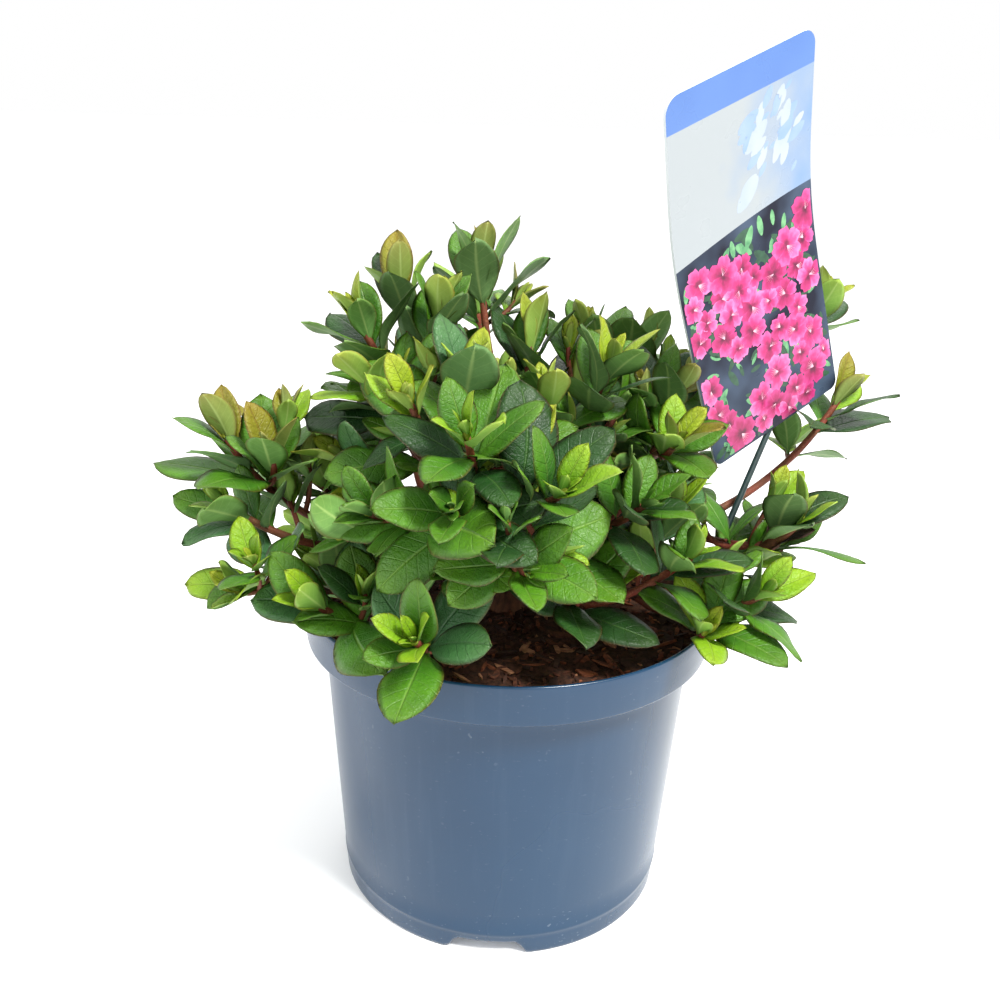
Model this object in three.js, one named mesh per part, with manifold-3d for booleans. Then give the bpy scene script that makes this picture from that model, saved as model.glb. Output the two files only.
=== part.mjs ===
// An evergreen azalea, about 29 cm tall with its pot, growing in a 17 cm nursery pot.
// A short stem forks just above the compost into tapering boughs. Each bough carries two sprays,
// and a spray is one stem with a few leafy shoots, each ending in a whorl of leaves.
// A plain plant label stands beside the stem on its own rod.
// Millimetres, +Z up, the origin in the middle of the pot's flat underside, the front towards -Y.
import * as THREE from "three";
import { mergeVertices } from "three/addons/utils/BufferGeometryUtils.js";
import Module from "manifold-3d";

const wasm = await Module();
wasm.setup();

// Driving dimensions
const GAP = 0.3;
const POT = {
  height: 130,
  rimRadius: 85,
  bandHeight: 16.5,
  bandTaper: 0.6,
  neckRadius: 77.1,
  footRadius: 69.4,
  footRounding: 1,
  wall: 1.6,
  floor: 2.2,
  sides: 40,
};
const NOTCH = { count: 4, azimuth: -94, width: 34, topWidth: 24, height: 5.5, depth: 7 };
const COMPOST = { edgeHeight: 121, middleHeight: 122.5, flatRadius: 14 };
const TRUNK = { height: 40, flareRadius: 8.5, waistRadius: 6, tipRadius: 3.4, waistHeight: 9, lean: 3, sides: 8 };
const BOUGH = { rootRadius: 2.5, tipRadius: 2.1, share: 0.52, sag: 9, rise: 0.75, sides: 6, steps: 4 };
const STEM = { rootRadius: 1.4, tipRadius: 1.3, bend: 0.42, apart: 1.45, steps: 4, sides: 3 };
const TWIG = { rootRadius: 1.3, tipRadius: 1.2, bend: 0.5, steps: 3, first: 0.4, last: 0.85 };
const SHOOT = { spread: 30, dropLeast: 8, dropMost: 26, room: 23, tries: 12, leaves: 9, beyond: 4, inner: 45 };
const LEAF = {
  oldLength: 37,
  youngLength: 19,
  oldWidth: 0.64,
  youngWidth: 0.5,
  thickness: 0.9,
  oldOpen: 74,
  youngOpen: 22,
  openJitter: 16,
  uprightClosing: 0.5,
  sizeJitter: 0.4,
  lastBack: 2,
  firstBack: 21,
  sunk: 0.2,
  lift: 0.1,
  hang: 0.45,
  steep: 0.93,
  firstOnSteep: 2,
  facingUp: 0.5,
  fold: 0.1,
  droop: 0.1,
};
const LABEL = {
  width: 74,
  height: 153,
  thickness: 1,
  corner: 6.5,
  turn: 34,
  roll: 21.8,
  curl: 13.5,
  curlFrom: 55,
  curlTo: 125,
  foot: [112.3, 28, 197],
  rodRadius: 1.5,
  rodFoot: [76.5, -4.5],
  rodAside: 8,
  rodBehind: 3.4,
  rodSeenFrom: [257, 19],
  tabWidth: 9,
  tabHeight: 7,
  rows: 12,
};

// Each bough: how far above the compost it leaves the stem, and its two sprays. A spray's leading shoot ends
// at an azimuth and reach from the pot's axis and a height above the ground, and points up by its lift.
const BOUGHS = [
  { name: "left", fork: 20, sprays: [
    { name: "left_high", azimuth: 191, reach: 112, height: 198, lift: 64, shoots: 3 },
    { name: "left_low", azimuth: 201, reach: 114, height: 178, lift: 40, shoots: 2 },
  ] },
  { name: "front_left", fork: 10, sprays: [
    { name: "left_rim", azimuth: 224, reach: 97, height: 151, lift: 38, shoots: 3 },
    { name: "front_rim", azimuth: 252, reach: 101, height: 152, lift: 38, shoots: 1 },
  ] },
  { name: "top_left", fork: 34, sprays: [
    { name: "left_top", azimuth: 183, reach: 61, height: 241, lift: 64, shoots: 4 },
    { name: "top_left", azimuth: 165, reach: 49, height: 252, lift: 80, shoots: 2 },
  ] },
  { name: "middle_left", fork: 28, sprays: [
    { name: "crown_left", azimuth: 214, reach: 66, height: 226, lift: 50, shoots: 4 },
    { name: "centre_left", azimuth: 240, reach: 72, height: 224, lift: 52, shoots: 4 },
  ] },
  { name: "middle", fork: 18, sprays: [
    { name: "centre", azimuth: 259, reach: 84, height: 219, lift: 48, shoots: 4 },
    { name: "centre_low", azimuth: 258, reach: 96, height: 198, lift: 22, shoots: 3 },
  ] },
  { name: "top", fork: 38, sprays: [
    { name: "top", azimuth: 136, reach: 21, height: 261, lift: 86, shoots: 2 },
    { name: "top_middle", azimuth: 70, reach: 17, height: 231, lift: 78, shoots: 4 },
  ] },
  { name: "top_right", fork: 32, sprays: [
    { name: "top_right", azimuth: 340, reach: 38, height: 229, lift: 66, shoots: 4 },
    { name: "centre_right", azimuth: 300, reach: 52, height: 188, lift: 50, shoots: 4 },
  ] },
  { name: "upper_right", fork: 26, sprays: [
    { name: "right_top", azimuth: 4, reach: 66, height: 218, lift: 62, shoots: 3 },
    { name: "right_back", azimuth: 25, reach: 146, height: 242, lift: 62, shoots: 2 },
  ] },
  { name: "right", fork: 18, sprays: [
    { name: "right_far", azimuth: 18, reach: 151, height: 206, lift: 60, shoots: 1 },
    { name: "right_middle", azimuth: 352, reach: 115, height: 170, lift: 68, shoots: 3 },
  ] },
  { name: "right_low", fork: 9, sprays: [
    { name: "right_low", azimuth: 354, reach: 102, height: 154, lift: 50, shoots: 2 },
    { name: "right_rim", azimuth: 337, reach: 104, height: 148, lift: 40, shoots: 3 },
  ] },
  { name: "front_right", fork: 10, sprays: [
    { name: "front_right", azimuth: 324, reach: 82, height: 166, lift: 46, shoots: 2 },
    { name: "front_low", azimuth: 290, reach: 64, height: 156, lift: 46, shoots: 1 },
  ] },
  { name: "middle_right", fork: 24, sprays: [
    { name: "middle_right", azimuth: 310, reach: 72, height: 188, lift: 44, shoots: 3 },
    { name: "inner_right", azimuth: 358, reach: 40, height: 206, lift: 52, shoots: 3 },
  ] },
  { name: "back_right", fork: 22, sprays: [
    { name: "back_right_high", azimuth: 46, reach: 82, height: 220, lift: 56, shoots: 4 },
    { name: "back_right_low", azimuth: 52, reach: 100, height: 168, lift: 40, shoots: 4 },
  ] },
  { name: "back", fork: 28, sprays: [
    { name: "back_high", azimuth: 92, reach: 76, height: 200, lift: 48, shoots: 4 },
    { name: "back_low", azimuth: 95, reach: 102, height: 165, lift: 40, shoots: 4 },
  ] },
  { name: "back_left", fork: 24, sprays: [
    { name: "back_left_high", azimuth: 134, reach: 74, height: 208, lift: 50, shoots: 4 },
    { name: "back_left_low", azimuth: 148, reach: 100, height: 167, lift: 40, shoots: 4 },
  ] },
];

// Colours
const paint = (colour, roughness) => new THREE.MeshStandardMaterial({ color: colour, roughness, metalness: 0 });
const MATERIALS = {
  pot: paint(0x53687f, 0.42),
  compost: paint(0x3d241a, 0.95),
  bark: paint(0x6d3524, 0.8),
  foliage: paint(0x3f7d2c, 0.5),
  card: paint(0xe8edf2, 0.4),
  rod: paint(0x1d2730, 0.5),
};

const UP = new THREE.Vector3(0, 0, 1);
const GOLDEN_ANGLE = Math.PI * (3 - Math.sqrt(5));
const FULL_TURN = 2 * Math.PI;
const WELD = 1e-3;
const LOOSE = 1;
const { degToRad, lerp } = THREE.MathUtils;

// A repeatable run of numbers from 0 to 1
function seeded(seed) {
  let state = Math.imul(seed, 2654435761) >>> 0;
  return () => {
    state = (Math.imul(state, 1664525) + 1013904223) >>> 0;
    return state / 4294967296;
  };
}

function polar(azimuth, reach, height) {
  const a = degToRad(azimuth);
  return new THREE.Vector3(reach * Math.cos(a), reach * Math.sin(a), height);
}

// Two unit vectors square to a direction and to each other
function sidesOf(direction) {
  const across = new THREE.Vector3().crossVectors(direction, UP);
  if (across.lengthSq() < 1e-4) across.set(1, 0, 0);
  across.normalize();
  return [across, new THREE.Vector3().crossVectors(across, direction).normalize()];
}

function geometryOf(vertices, triangles) {
  const geometry = new THREE.BufferGeometry();
  geometry.setAttribute("position", new THREE.Float32BufferAttribute(vertices.flatMap((v) => [v.x, v.y, v.z]), 3));
  geometry.setIndex(triangles.flat());
  return geometry;
}

function solidOf(geometry) {
  const bare = geometry.clone();
  bare.deleteAttribute("normal");
  bare.deleteAttribute("uv");
  const merged = mergeVertices(bare, WELD);
  return new wasm.Manifold(new wasm.Mesh({
    numProp: 3,
    vertProperties: merged.attributes.position.array,
    triVerts: new Uint32Array(merged.index.array),
  }));
}

function geometryFrom(solid) {
  const mesh = solid.getMesh();
  const geometry = new THREE.BufferGeometry();
  geometry.setAttribute("position", new THREE.BufferAttribute(Float32Array.from(mesh.vertProperties), 3));
  geometry.setIndex(new THREE.BufferAttribute(Uint32Array.from(mesh.triVerts), 1));
  const faceted = geometry.toNonIndexed();
  faceted.computeVertexNormals();
  return faceted;
}

// A closed tapering limb along a curve, with its rings carried on from one another so that it doesn't twist
function limbGeometry(curve, rootRadius, tipRadius, sides, steps, radiusAt) {
  const vertices = [];
  const triangles = [];
  let across = null;
  for (let i = 0; i <= steps; i++) {
    const t = i / steps;
    const centre = curve.getPoint(t);
    const along = curve.getTangent(t);
    across = across ? across.addScaledVector(along, -across.dot(along)).normalize() : sidesOf(along)[0];
    const other = new THREE.Vector3().crossVectors(along, across);
    const radius = radiusAt ? radiusAt(t) : lerp(rootRadius, tipRadius, t);
    for (let k = 0; k < sides; k++) {
      const angle = (FULL_TURN * k) / sides;
      vertices.push(centre.clone()
        .addScaledVector(across, radius * Math.cos(angle))
        .addScaledVector(other, radius * Math.sin(angle)));
    }
    across = across.clone();
  }
  for (let i = 0; i < steps; i++)
    for (let k = 0; k < sides; k++) {
      const a = i * sides + k;
      const b = i * sides + ((k + 1) % sides);
      triangles.push([a, b, b + sides], [a, b + sides, a + sides]);
    }
  const last = steps * sides;
  for (let k = 1; k < sides - 1; k++) {
    triangles.push([0, k + 1, k]);
    triangles.push([last, last + k, last + k + 1]);
  }
  return geometryOf(vertices, triangles);
}

// A blade of eight faces, widest beyond its middle, folded along its midrib, its tip a little down
const BLADE_OUTLINE = [[0, 0], [-0.5, 0.55], [0, 1], [0.5, 0.55]];
const BLADE_MIDDLE = 0.5;

function bladeGeometry(leaf, grow = 0) {
  const across = new THREE.Vector3().crossVectors(leaf.along, leaf.normal);
  const length = leaf.length + grow;
  const width = leaf.width + 2 * grow;
  const thickness = LEAF.thickness + 2 * grow;
  const place = (u, v, h) => leaf.root.clone()
    .addScaledVector(across, u)
    .addScaledVector(leaf.along, v)
    .addScaledVector(leaf.normal, h);
  const vertices = BLADE_OUTLINE.map(([u, v]) =>
    place(u * width, v * length, Math.abs(u) * width * LEAF.fold * 2 - v * v * length * LEAF.droop));
  const middleDrop = -BLADE_MIDDLE * BLADE_MIDDLE * length * LEAF.droop;
  vertices.push(place(0, BLADE_MIDDLE * length, middleDrop + thickness / 2));
  vertices.push(place(0, BLADE_MIDDLE * length, middleDrop - thickness / 2));
  const count = BLADE_OUTLINE.length;
  const triangles = [];
  for (let i = 0; i < count; i++) {
    const next = (i + 1) % count;
    triangles.push([count, next, i], [count + 1, i, next]);
  }
  return geometryOf(vertices, triangles);
}

// The pot: a stepped band at the rim, a tapering wall, a flat floor and four drain notches round its foot
function pot() {
  const { height, rimRadius, bandHeight, bandTaper, neckRadius, footRadius, footRounding, wall, floor } = POT;
  const ledge = height - bandHeight;
  const profile = [
    [0, 0],
    [footRadius - footRounding, 0],
    [footRadius, footRounding],
    [neckRadius, ledge - 1],
    [rimRadius - bandTaper, ledge],
    [rimRadius, height],
    [rimRadius - wall, height],
    [rimRadius - bandTaper - wall, ledge + wall],
    [neckRadius - wall, ledge + 0.4],
    [footRadius - wall, floor],
    [0, floor],
  ].map(([r, z]) => new THREE.Vector2(r, z));
  const turned = new THREE.LatheGeometry(profile, POT.sides).rotateX(Math.PI / 2);
  const notchShape = new THREE.Shape([
    new THREE.Vector2(-NOTCH.width / 2, -1),
    new THREE.Vector2(NOTCH.width / 2, -1),
    new THREE.Vector2(NOTCH.topWidth / 2, NOTCH.height),
    new THREE.Vector2(-NOTCH.topWidth / 2, NOTCH.height),
  ]);
  let solid = solidOf(turned);
  for (let i = 0; i < NOTCH.count; i++) {
    const cutter = new THREE.ExtrudeGeometry(notchShape, { depth: NOTCH.depth + 6, bevelEnabled: false })
      .translate(0, 0, footRadius - NOTCH.depth)
      .applyMatrix4(new THREE.Matrix4().set(0, 0, 1, 0, 1, 0, 0, 0, 0, 1, 0, 0, 0, 0, 0, 1))
      .rotateZ(degToRad(NOTCH.azimuth) + (FULL_TURN * i) / NOTCH.count);
    solid = solid.subtract(solidOf(cutter));
  }
  return solid;
}

// The compost fills the pot to just under its rim, and is a little higher round the stem.
// Its lower corner is stepped in, clear of the drain notches.
function compost() {
  const { rimRadius, bandTaper, bandHeight, height, neckRadius, footRadius, wall, floor } = POT;
  const ledge = height - bandHeight;
  const side = GAP + 0.2;
  const stepRadius = footRadius - NOTCH.depth - 1;
  const stepHeight = NOTCH.height + 1;
  const profile = [
    [0, floor + GAP],
    [stepRadius, floor + GAP],
    [stepRadius, stepHeight],
    [footRadius - wall - side, stepHeight],
    [neckRadius - wall - side, ledge + 0.7],
    [rimRadius - bandTaper - wall - side, ledge + wall + 0.6],
    [rimRadius - bandTaper - wall - side, COMPOST.edgeHeight],
    [COMPOST.flatRadius, COMPOST.middleHeight],
    [0, COMPOST.middleHeight],
  ].map(([r, z]) => new THREE.Vector2(r, z));
  return solidOf(new THREE.LatheGeometry(profile, POT.sides).rotateX(Math.PI / 2));
}

const trunkFoot = COMPOST.middleHeight + GAP;

function trunkAxis(above) {
  return new THREE.Vector3(TRUNK.lean * Math.sin(above / TRUNK.height), 0, trunkFoot + above);
}

function trunkRadius(above) {
  if (above < TRUNK.waistHeight) {
    const t = 1 - above / TRUNK.waistHeight;
    return TRUNK.waistRadius + (TRUNK.flareRadius - TRUNK.waistRadius) * t * t;
  }
  return lerp(TRUNK.waistRadius, TRUNK.tipRadius, (above - TRUNK.waistHeight) / (TRUNK.height - TRUNK.waistHeight));
}

function trunk() {
  const steps = 7;
  const axis = new THREE.CatmullRomCurve3([0, 0.25, 0.5, 0.75, 1].map((t) => trunkAxis(t * TRUNK.height)));
  axis.getTangent = (t) => (t === 0 ? UP.clone() : trunkAxis((t + 0.01) * TRUNK.height)
    .sub(trunkAxis((t - 0.01) * TRUNK.height)).normalize());
  return solidOf(limbGeometry(axis, 0, 0, TRUNK.sides, steps, (t) => trunkRadius(t * TRUNK.height)));
}

// Where a spray's leading shoot ends, and the way it points
function leadOf(spray) {
  return {
    site: polar(spray.azimuth, spray.reach, spray.height),
    direction: polar(spray.azimuth, Math.cos(degToRad(spray.lift)), Math.sin(degToRad(spray.lift))),
  };
}

// A bough leaves the stem, rises, and ends short of the midpoint of its two sprays
function boughCurve(bough) {
  const target = new THREE.Vector3();
  for (const spray of bough.sprays) target.addScaledVector(leadOf(spray).site, 1 / bough.sprays.length);
  const axis = trunkAxis(bough.fork);
  const outward = new THREE.Vector3(target.x - axis.x, target.y - axis.y, 0).normalize();
  const leaving = outward.clone().setZ(BOUGH.rise).normalize();
  const clear = trunkRadius(bough.fork) + GAP + BOUGH.rootRadius * leaving.z;
  const start = axis.clone().addScaledVector(outward, clear);
  const end = start.clone().lerp(target, BOUGH.share);
  end.z -= BOUGH.sag;
  const middle = start.clone().addScaledVector(leaving, start.distanceTo(end) * 0.45);
  return new THREE.QuadraticBezierCurve3(start, middle, end);
}

// The spray's stem starts beside its twin on the flat end of the bough and bends into its leading shoot
function stemCurve(spray, twin, bough) {
  const { site, direction } = leadOf(spray);
  const boughEnd = bough.getPoint(1);
  const boughWay = bough.getTangent(1);
  const apart = site.clone().sub(leadOf(twin).site);
  apart.addScaledVector(boughWay, -apart.dot(boughWay)).normalize();
  const start = boughEnd.clone()
    .addScaledVector(boughWay, GAP + STEM.rootRadius * 0.35)
    .addScaledVector(apart, STEM.apart);
  const length = start.distanceTo(site);
  return new THREE.CubicBezierCurve3(
    start,
    start.clone().addScaledVector(boughWay, length * 0.22).addScaledVector(apart, length * 0.08),
    site.clone().addScaledVector(direction, -length * STEM.bend),
    site,
  );
}

// The label's own frame: across, up and out of its printed side
const labelAcross = new THREE.Vector3();
const labelUp = new THREE.Vector3();
const labelOut = new THREE.Vector3();
new THREE.Matrix4().makeRotationZ(degToRad(LABEL.turn))
  .multiply(new THREE.Matrix4().makeRotationY(-degToRad(LABEL.roll)))
  .multiply(new THREE.Matrix4().makeRotationX(Math.PI / 2))
  .extractBasis(labelAcross, labelUp, labelOut);
const labelFoot = new THREE.Vector3(...LABEL.foot);

// The card curls forward smoothly between two heights
function labelCurl(v) {
  const steps = 24;
  const place = labelFoot.clone();
  let way = labelUp.clone();
  for (let i = 0; i < steps; i++) {
    const at = (v * (i + 0.5)) / steps;
    const angle = degToRad(LABEL.curl) * THREE.MathUtils.smoothstep(at, LABEL.curlFrom, LABEL.curlTo);
    way = labelUp.clone().multiplyScalar(Math.cos(angle)).addScaledVector(labelOut, Math.sin(angle));
    place.addScaledVector(way, v / steps);
  }
  return { place, out: new THREE.Vector3().crossVectors(labelAcross, way).normalize() };
}

function labelHalfWidth(v) {
  const fromEnd = Math.min(v, LABEL.height - v);
  const corner = v < LABEL.height / 2 ? LABEL.corner * 0.6 : LABEL.corner;
  if (fromEnd >= corner) return LABEL.width / 2;
  const dip = corner - fromEnd;
  return LABEL.width / 2 - corner + Math.sqrt(corner * corner - dip * dip);
}

// A thin card with round corners, made of rows from its foot to its top
function labelCard() {
  const corner = LABEL.corner;
  const heights = [0, 0.08 * corner, 0.35 * corner];
  for (let i = 1; i < LABEL.rows; i++) heights.push(lerp(0.35 * corner, LABEL.height - corner, i / LABEL.rows));
  for (const share of [1, 0.62, 0.3, 0.08, 0]) heights.push(LABEL.height - corner * share);
  const vertices = [];
  const triangles = [];
  for (const v of heights) {
    const { place, out } = labelCurl(v);
    const half = labelHalfWidth(v);
    for (const [side, face] of [[-1, 1], [1, 1], [1, -1], [-1, -1]])
      vertices.push(place.clone()
        .addScaledVector(labelAcross, side * half)
        .addScaledVector(out, (face * LABEL.thickness) / 2));
  }
  for (let i = 0; i < heights.length - 1; i++)
    for (let k = 0; k < 4; k++) {
      const a = 4 * i + k;
      const b = 4 * i + ((k + 1) % 4);
      triangles.push([a, b, b + 4], [a, b + 4, a + 4]);
    }
  const last = 4 * (heights.length - 1);
  triangles.push([0, 2, 1], [0, 3, 2], [last, last + 1, last + 2], [last, last + 2, last + 3]);
  return solidOf(geometryOf(vertices, triangles));
}

// The rod stands on the compost and ends in a small tab behind the card's foot, a little to one side
const rodTop = labelFoot.clone().addScaledVector(labelUp, LABEL.tabHeight)
  .addScaledVector(labelAcross, LABEL.rodAside).addScaledVector(labelOut, -LABEL.rodBehind);
const rodFoot = new THREE.Vector3(...LABEL.rodFoot, COMPOST.middleHeight + GAP + 0.2);

function labelRod() {
  const path = new THREE.LineCurve3(rodFoot, rodTop);
  const rod = solidOf(limbGeometry(path, LABEL.rodRadius, LABEL.rodRadius * 0.85, 8, 1));
  const tab = new THREE.BoxGeometry(LABEL.tabWidth, LABEL.tabHeight, LABEL.rodRadius)
    .applyMatrix4(new THREE.Matrix4().makeBasis(labelAcross, labelUp, labelOut))
    .translate(...rodTop.clone().addScaledVector(labelUp, -LABEL.tabHeight * 0.4)
      .addScaledVector(labelOut, LABEL.rodBehind - LABEL.thickness / 2 - 2 * GAP - LABEL.rodRadius * 0.55)
      .toArray());
  return rod.add(solidOf(tab));
}

const CLEAR_OVER_POT = 12;
const CLEAR_BESIDE_LABEL = 14;
const CLEAR_BEFORE_LABEL = 60;
const CLEAR_BEFORE_ROD = 80;
const CLEAR_BESIDE_ROD = 6;
const ROD_HIDDEN_SHARE = 0.33;

// Whether a point lies just in front of the label's printed side, which stays in view
function hidesLabel(point) {
  const off = point.clone().sub(labelFoot);
  const before = off.dot(labelOut);
  return Math.abs(off.dot(labelAcross)) < LABEL.width / 2 - 3 && off.dot(labelUp) > 8
    && before > 0 && before < CLEAR_BEFORE_LABEL;
}

// Whether a point stands before the upper part of the rod, on the side that it is seen from
function hidesRod(point) {
  const [azimuth, rise] = LABEL.rodSeenFrom;
  const ahead = polar(azimuth, Math.cos(degToRad(rise)), Math.sin(degToRad(rise)));
  const along = rodTop.clone().sub(rodFoot);
  const length = along.length();
  along.divideScalar(length);
  const off = point.clone().sub(rodFoot);
  if (Math.abs(off.dot(along.clone().cross(ahead).normalize())) > CLEAR_BESIDE_ROD) return false;
  const lean = along.dot(ahead);
  const before = (off.dot(ahead) - lean * off.dot(along)) / (1 - lean * lean);
  const up = off.dot(along) - before * lean;
  return before > 0 && before < CLEAR_BEFORE_ROD && up > ROD_HIDDEN_SHARE * length && up < length;
}

// Room for a shoot's end: away from the other shoots, the pot, the compost and the label
function hasRoom(site, taken) {
  if (hidesLabel(site) || hidesRod(site) || taken.some((other) => other.distanceTo(site) < SHOOT.room)) return false;
  const reach = Math.hypot(site.x, site.y);
  if (reach < POT.rimRadius + 4 && site.z < POT.height + CLEAR_OVER_POT) return false;
  if (site.z < POT.height + 2) return false;
  const fromLabel = site.clone().sub(labelFoot);
  const beside = Math.abs(fromLabel.dot(labelAcross)) < LABEL.width / 2 + CLEAR_BESIDE_LABEL;
  const above = fromLabel.dot(labelUp) > -CLEAR_BESIDE_LABEL;
  return !(beside && above && Math.abs(fromLabel.dot(labelOut)) < CLEAR_BESIDE_LABEL);
}

// The shoots of a spray: the leading one, then others set round it by the golden angle, none of which
// reaches much farther out
function shootsOf(spray, seed, stem, taken) {
  const random = seeded(seed);
  const { site, direction } = leadOf(spray);
  const [e1, e2] = sidesOf(direction);
  const shoots = [{ site, direction, curve: stem, steps: STEM.steps }];
  let turn = random() * FULL_TURN;
  for (let k = 1; k < spray.shoots; k++)
    for (let attempt = 0; attempt < SHOOT.tries; attempt++) {
      turn += GOLDEN_ANGLE;
      const spread = SHOOT.spread * (0.8 + 0.4 * random());
      const drop = lerp(SHOOT.dropLeast, SHOOT.dropMost, random());
      const side = e1.clone().multiplyScalar(Math.cos(turn)).addScaledVector(e2, Math.sin(turn));
      const end = site.clone().addScaledVector(side, spread).addScaledVector(direction, -drop);
      const farthest = Math.max(spray.reach + SHOOT.beyond, SHOOT.inner);
      if (Math.hypot(end.x, end.y) > farthest || !hasRoom(end, taken)) continue;
      taken.push(end);
      const way = direction.clone().multiplyScalar(0.75).addScaledVector(side, 0.55)
        .addScaledVector(UP, 0.3).normalize();
      const start = stem.getPoint(lerp(TWIG.first, TWIG.last, k / spray.shoots));
      const middle = end.clone().addScaledVector(way, -start.distanceTo(end) * TWIG.bend);
      const curve = new THREE.QuadraticBezierCurve3(start, middle, end);
      shoots.push({ site: end, direction: way, curve, steps: TWIG.steps });
      break;
    }
  return shoots;
}

// A point at a distance back from the end of a run of straight lengths
function backAlong(points, distance) {
  let left = distance;
  for (let i = points.length - 1; i > 0; i--) {
    const length = points[i].distanceTo(points[i - 1]);
    if (left <= length) return points[i].clone().lerp(points[i - 1], left / length);
    left -= length;
  }
  return points[0].clone();
}

// The leaves of one shoot, from the oldest and widest open to the youngest at its tip. A shoot that points
// nearly straight up is a young one, without the oldest leaves.
function leavesOf(shoot, seed) {
  const random = seeded(seed);
  const [e1, e2] = sidesOf(shoot.direction);
  const points = shoot.curve.getPoints(shoot.steps);
  const closing = 1 - LEAF.uprightClosing * Math.max(shoot.direction.z, 0) ** 6;
  const first = shoot.direction.z > LEAF.steep ? LEAF.firstOnSteep : 0;
  const leaves = [];
  let turn = random() * FULL_TURN;
  for (let j = 0; j < SHOOT.leaves; j++) {
    const age = 1 - j / (SHOOT.leaves - 1);
    turn += GOLDEN_ANGLE;
    const spread = lerp(LEAF.youngOpen, LEAF.oldOpen, age) * closing + LEAF.openJitter * (random() - 0.5);
    const open = degToRad(spread);
    const size = 1 + LEAF.sizeJitter * (random() - 0.5);
    const side = e1.clone().multiplyScalar(Math.cos(turn)).addScaledVector(e2, Math.sin(turn));
    const along = shoot.direction.clone().multiplyScalar(Math.cos(open)).addScaledVector(side, Math.sin(open));
    along.z = (along.z < 0 ? along.z * LEAF.hang : along.z) + LEAF.lift;
    along.normalize();
    const normal = shoot.direction.clone().addScaledVector(UP, LEAF.facingUp);
    normal.addScaledVector(along, -normal.dot(along)).normalize();
    const length = lerp(LEAF.youngLength, LEAF.oldLength, Math.pow(age, 0.7)) * size;
    const back = lerp(LEAF.lastBack, LEAF.firstBack, age);
    leaves.push(j < first ? null : {
      root: backAlong(points, back).addScaledVector(along, -LEAF.sunk),
      along,
      normal,
      length,
      width: length * lerp(LEAF.youngWidth, LEAF.oldWidth, age),
    });
  }
  return leaves;
}

// Solids placed so far, for testing that each mass keeps to its own space
const placed = [];

function boxesMeet(a, b) {
  return [0, 1, 2].every((i) => a.min[i] <= b.max[i] && b.min[i] <= a.max[i]);
}

function touches(solid, isNeighbour) {
  const box = solid.boundingBox();
  return placed.some((other) =>
    isNeighbour(other) && boxesMeet(box, other.box) && !solid.intersect(other.solid).isEmpty());
}

const touchesAnother = (solid, owner) => touches(solid, (other) => other.owner !== owner);

function place(solid, owner) {
  placed.push({ solid, owner, box: solid.boundingBox() });
}

// A leaf that would touch a neighbour, or cross a leaf of its own spray beyond its base, is turned towards
// its shoot's tip, then shortened, then left out
const BASE_SHARE = 0.28;

function fits(leaf, owner) {
  const reaches = [0.6, 1].map((share) => leaf.root.clone().addScaledVector(leaf.along, share * leaf.length));
  if (reaches.some((reach) => hidesLabel(reach) || hidesRod(reach))) return false;
  if (touchesAnother(solidOf(bladeGeometry(leaf, GAP)), owner)) return false;
  const outer = {
    ...leaf,
    root: leaf.root.clone().addScaledVector(leaf.along, BASE_SHARE * leaf.length),
    length: (1 - BASE_SHARE) * leaf.length,
  };
  return !touches(solidOf(bladeGeometry(outer)), (other) => other.owner === owner);
}

function fittingLeaf(leaf, shoot, owner) {
  for (const [towardsTip, share] of [[0, 1], [0.45, 0.95], [-0.4, 0.95], [0, 0.78], [0.8, 0.8]]) {
    const along = leaf.along.clone().addScaledVector(shoot.direction, towardsTip).normalize();
    const normal = leaf.normal.clone();
    normal.addScaledVector(along, -normal.dot(along)).normalize();
    const tried = { ...leaf, along, normal, length: leaf.length * share, width: leaf.width * share };
    if (fits(tried, owner)) return solidOf(bladeGeometry(tried));
  }
  return null;
}

// Whether two edges of a welded solid lie on one another
function isPinched(solid) {
  const bare = geometryFrom(solid);
  bare.deleteAttribute("normal");
  const index = mergeVertices(bare, WELD).index.array;
  const shared = new Map();
  for (let i = 0; i < index.length; i += 3) {
    const face = [index[i], index[i + 1], index[i + 2]];
    if (new Set(face).size < 3) continue;
    face.forEach((a, k) => {
      const b = face[(k + 1) % 3];
      const edge = Math.min(a, b) + " " + Math.max(a, b);
      shared.set(edge, (shared.get(edge) ?? 0) + 1);
    });
  }
  return [...shared.values()].some((count) => count !== 2);
}

// Twigs and blades as one body, joined one at a time. A piece that would hang loose, or lay one edge
// on another, is left out.
function fused(pieces) {
  let whole = pieces[0];
  for (const piece of pieces.slice(1)) {
    const next = whole.add(piece);
    const bodies = next.decompose();
    if (bodies.some((body) => body.volume() > LOOSE && body.numTri() < next.numTri() / 2)) continue;
    const body = bodies.sort((p, q) => q.volume() - p.volume())[0];
    if (!isPinched(body)) whole = body;
  }
  return whole;
}

// Assembly
const root = new THREE.Group();

function addNode(name, solid, material) {
  const mesh = new THREE.Mesh(geometryFrom(solid), material);
  mesh.name = name;
  root.add(mesh);
}

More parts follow.
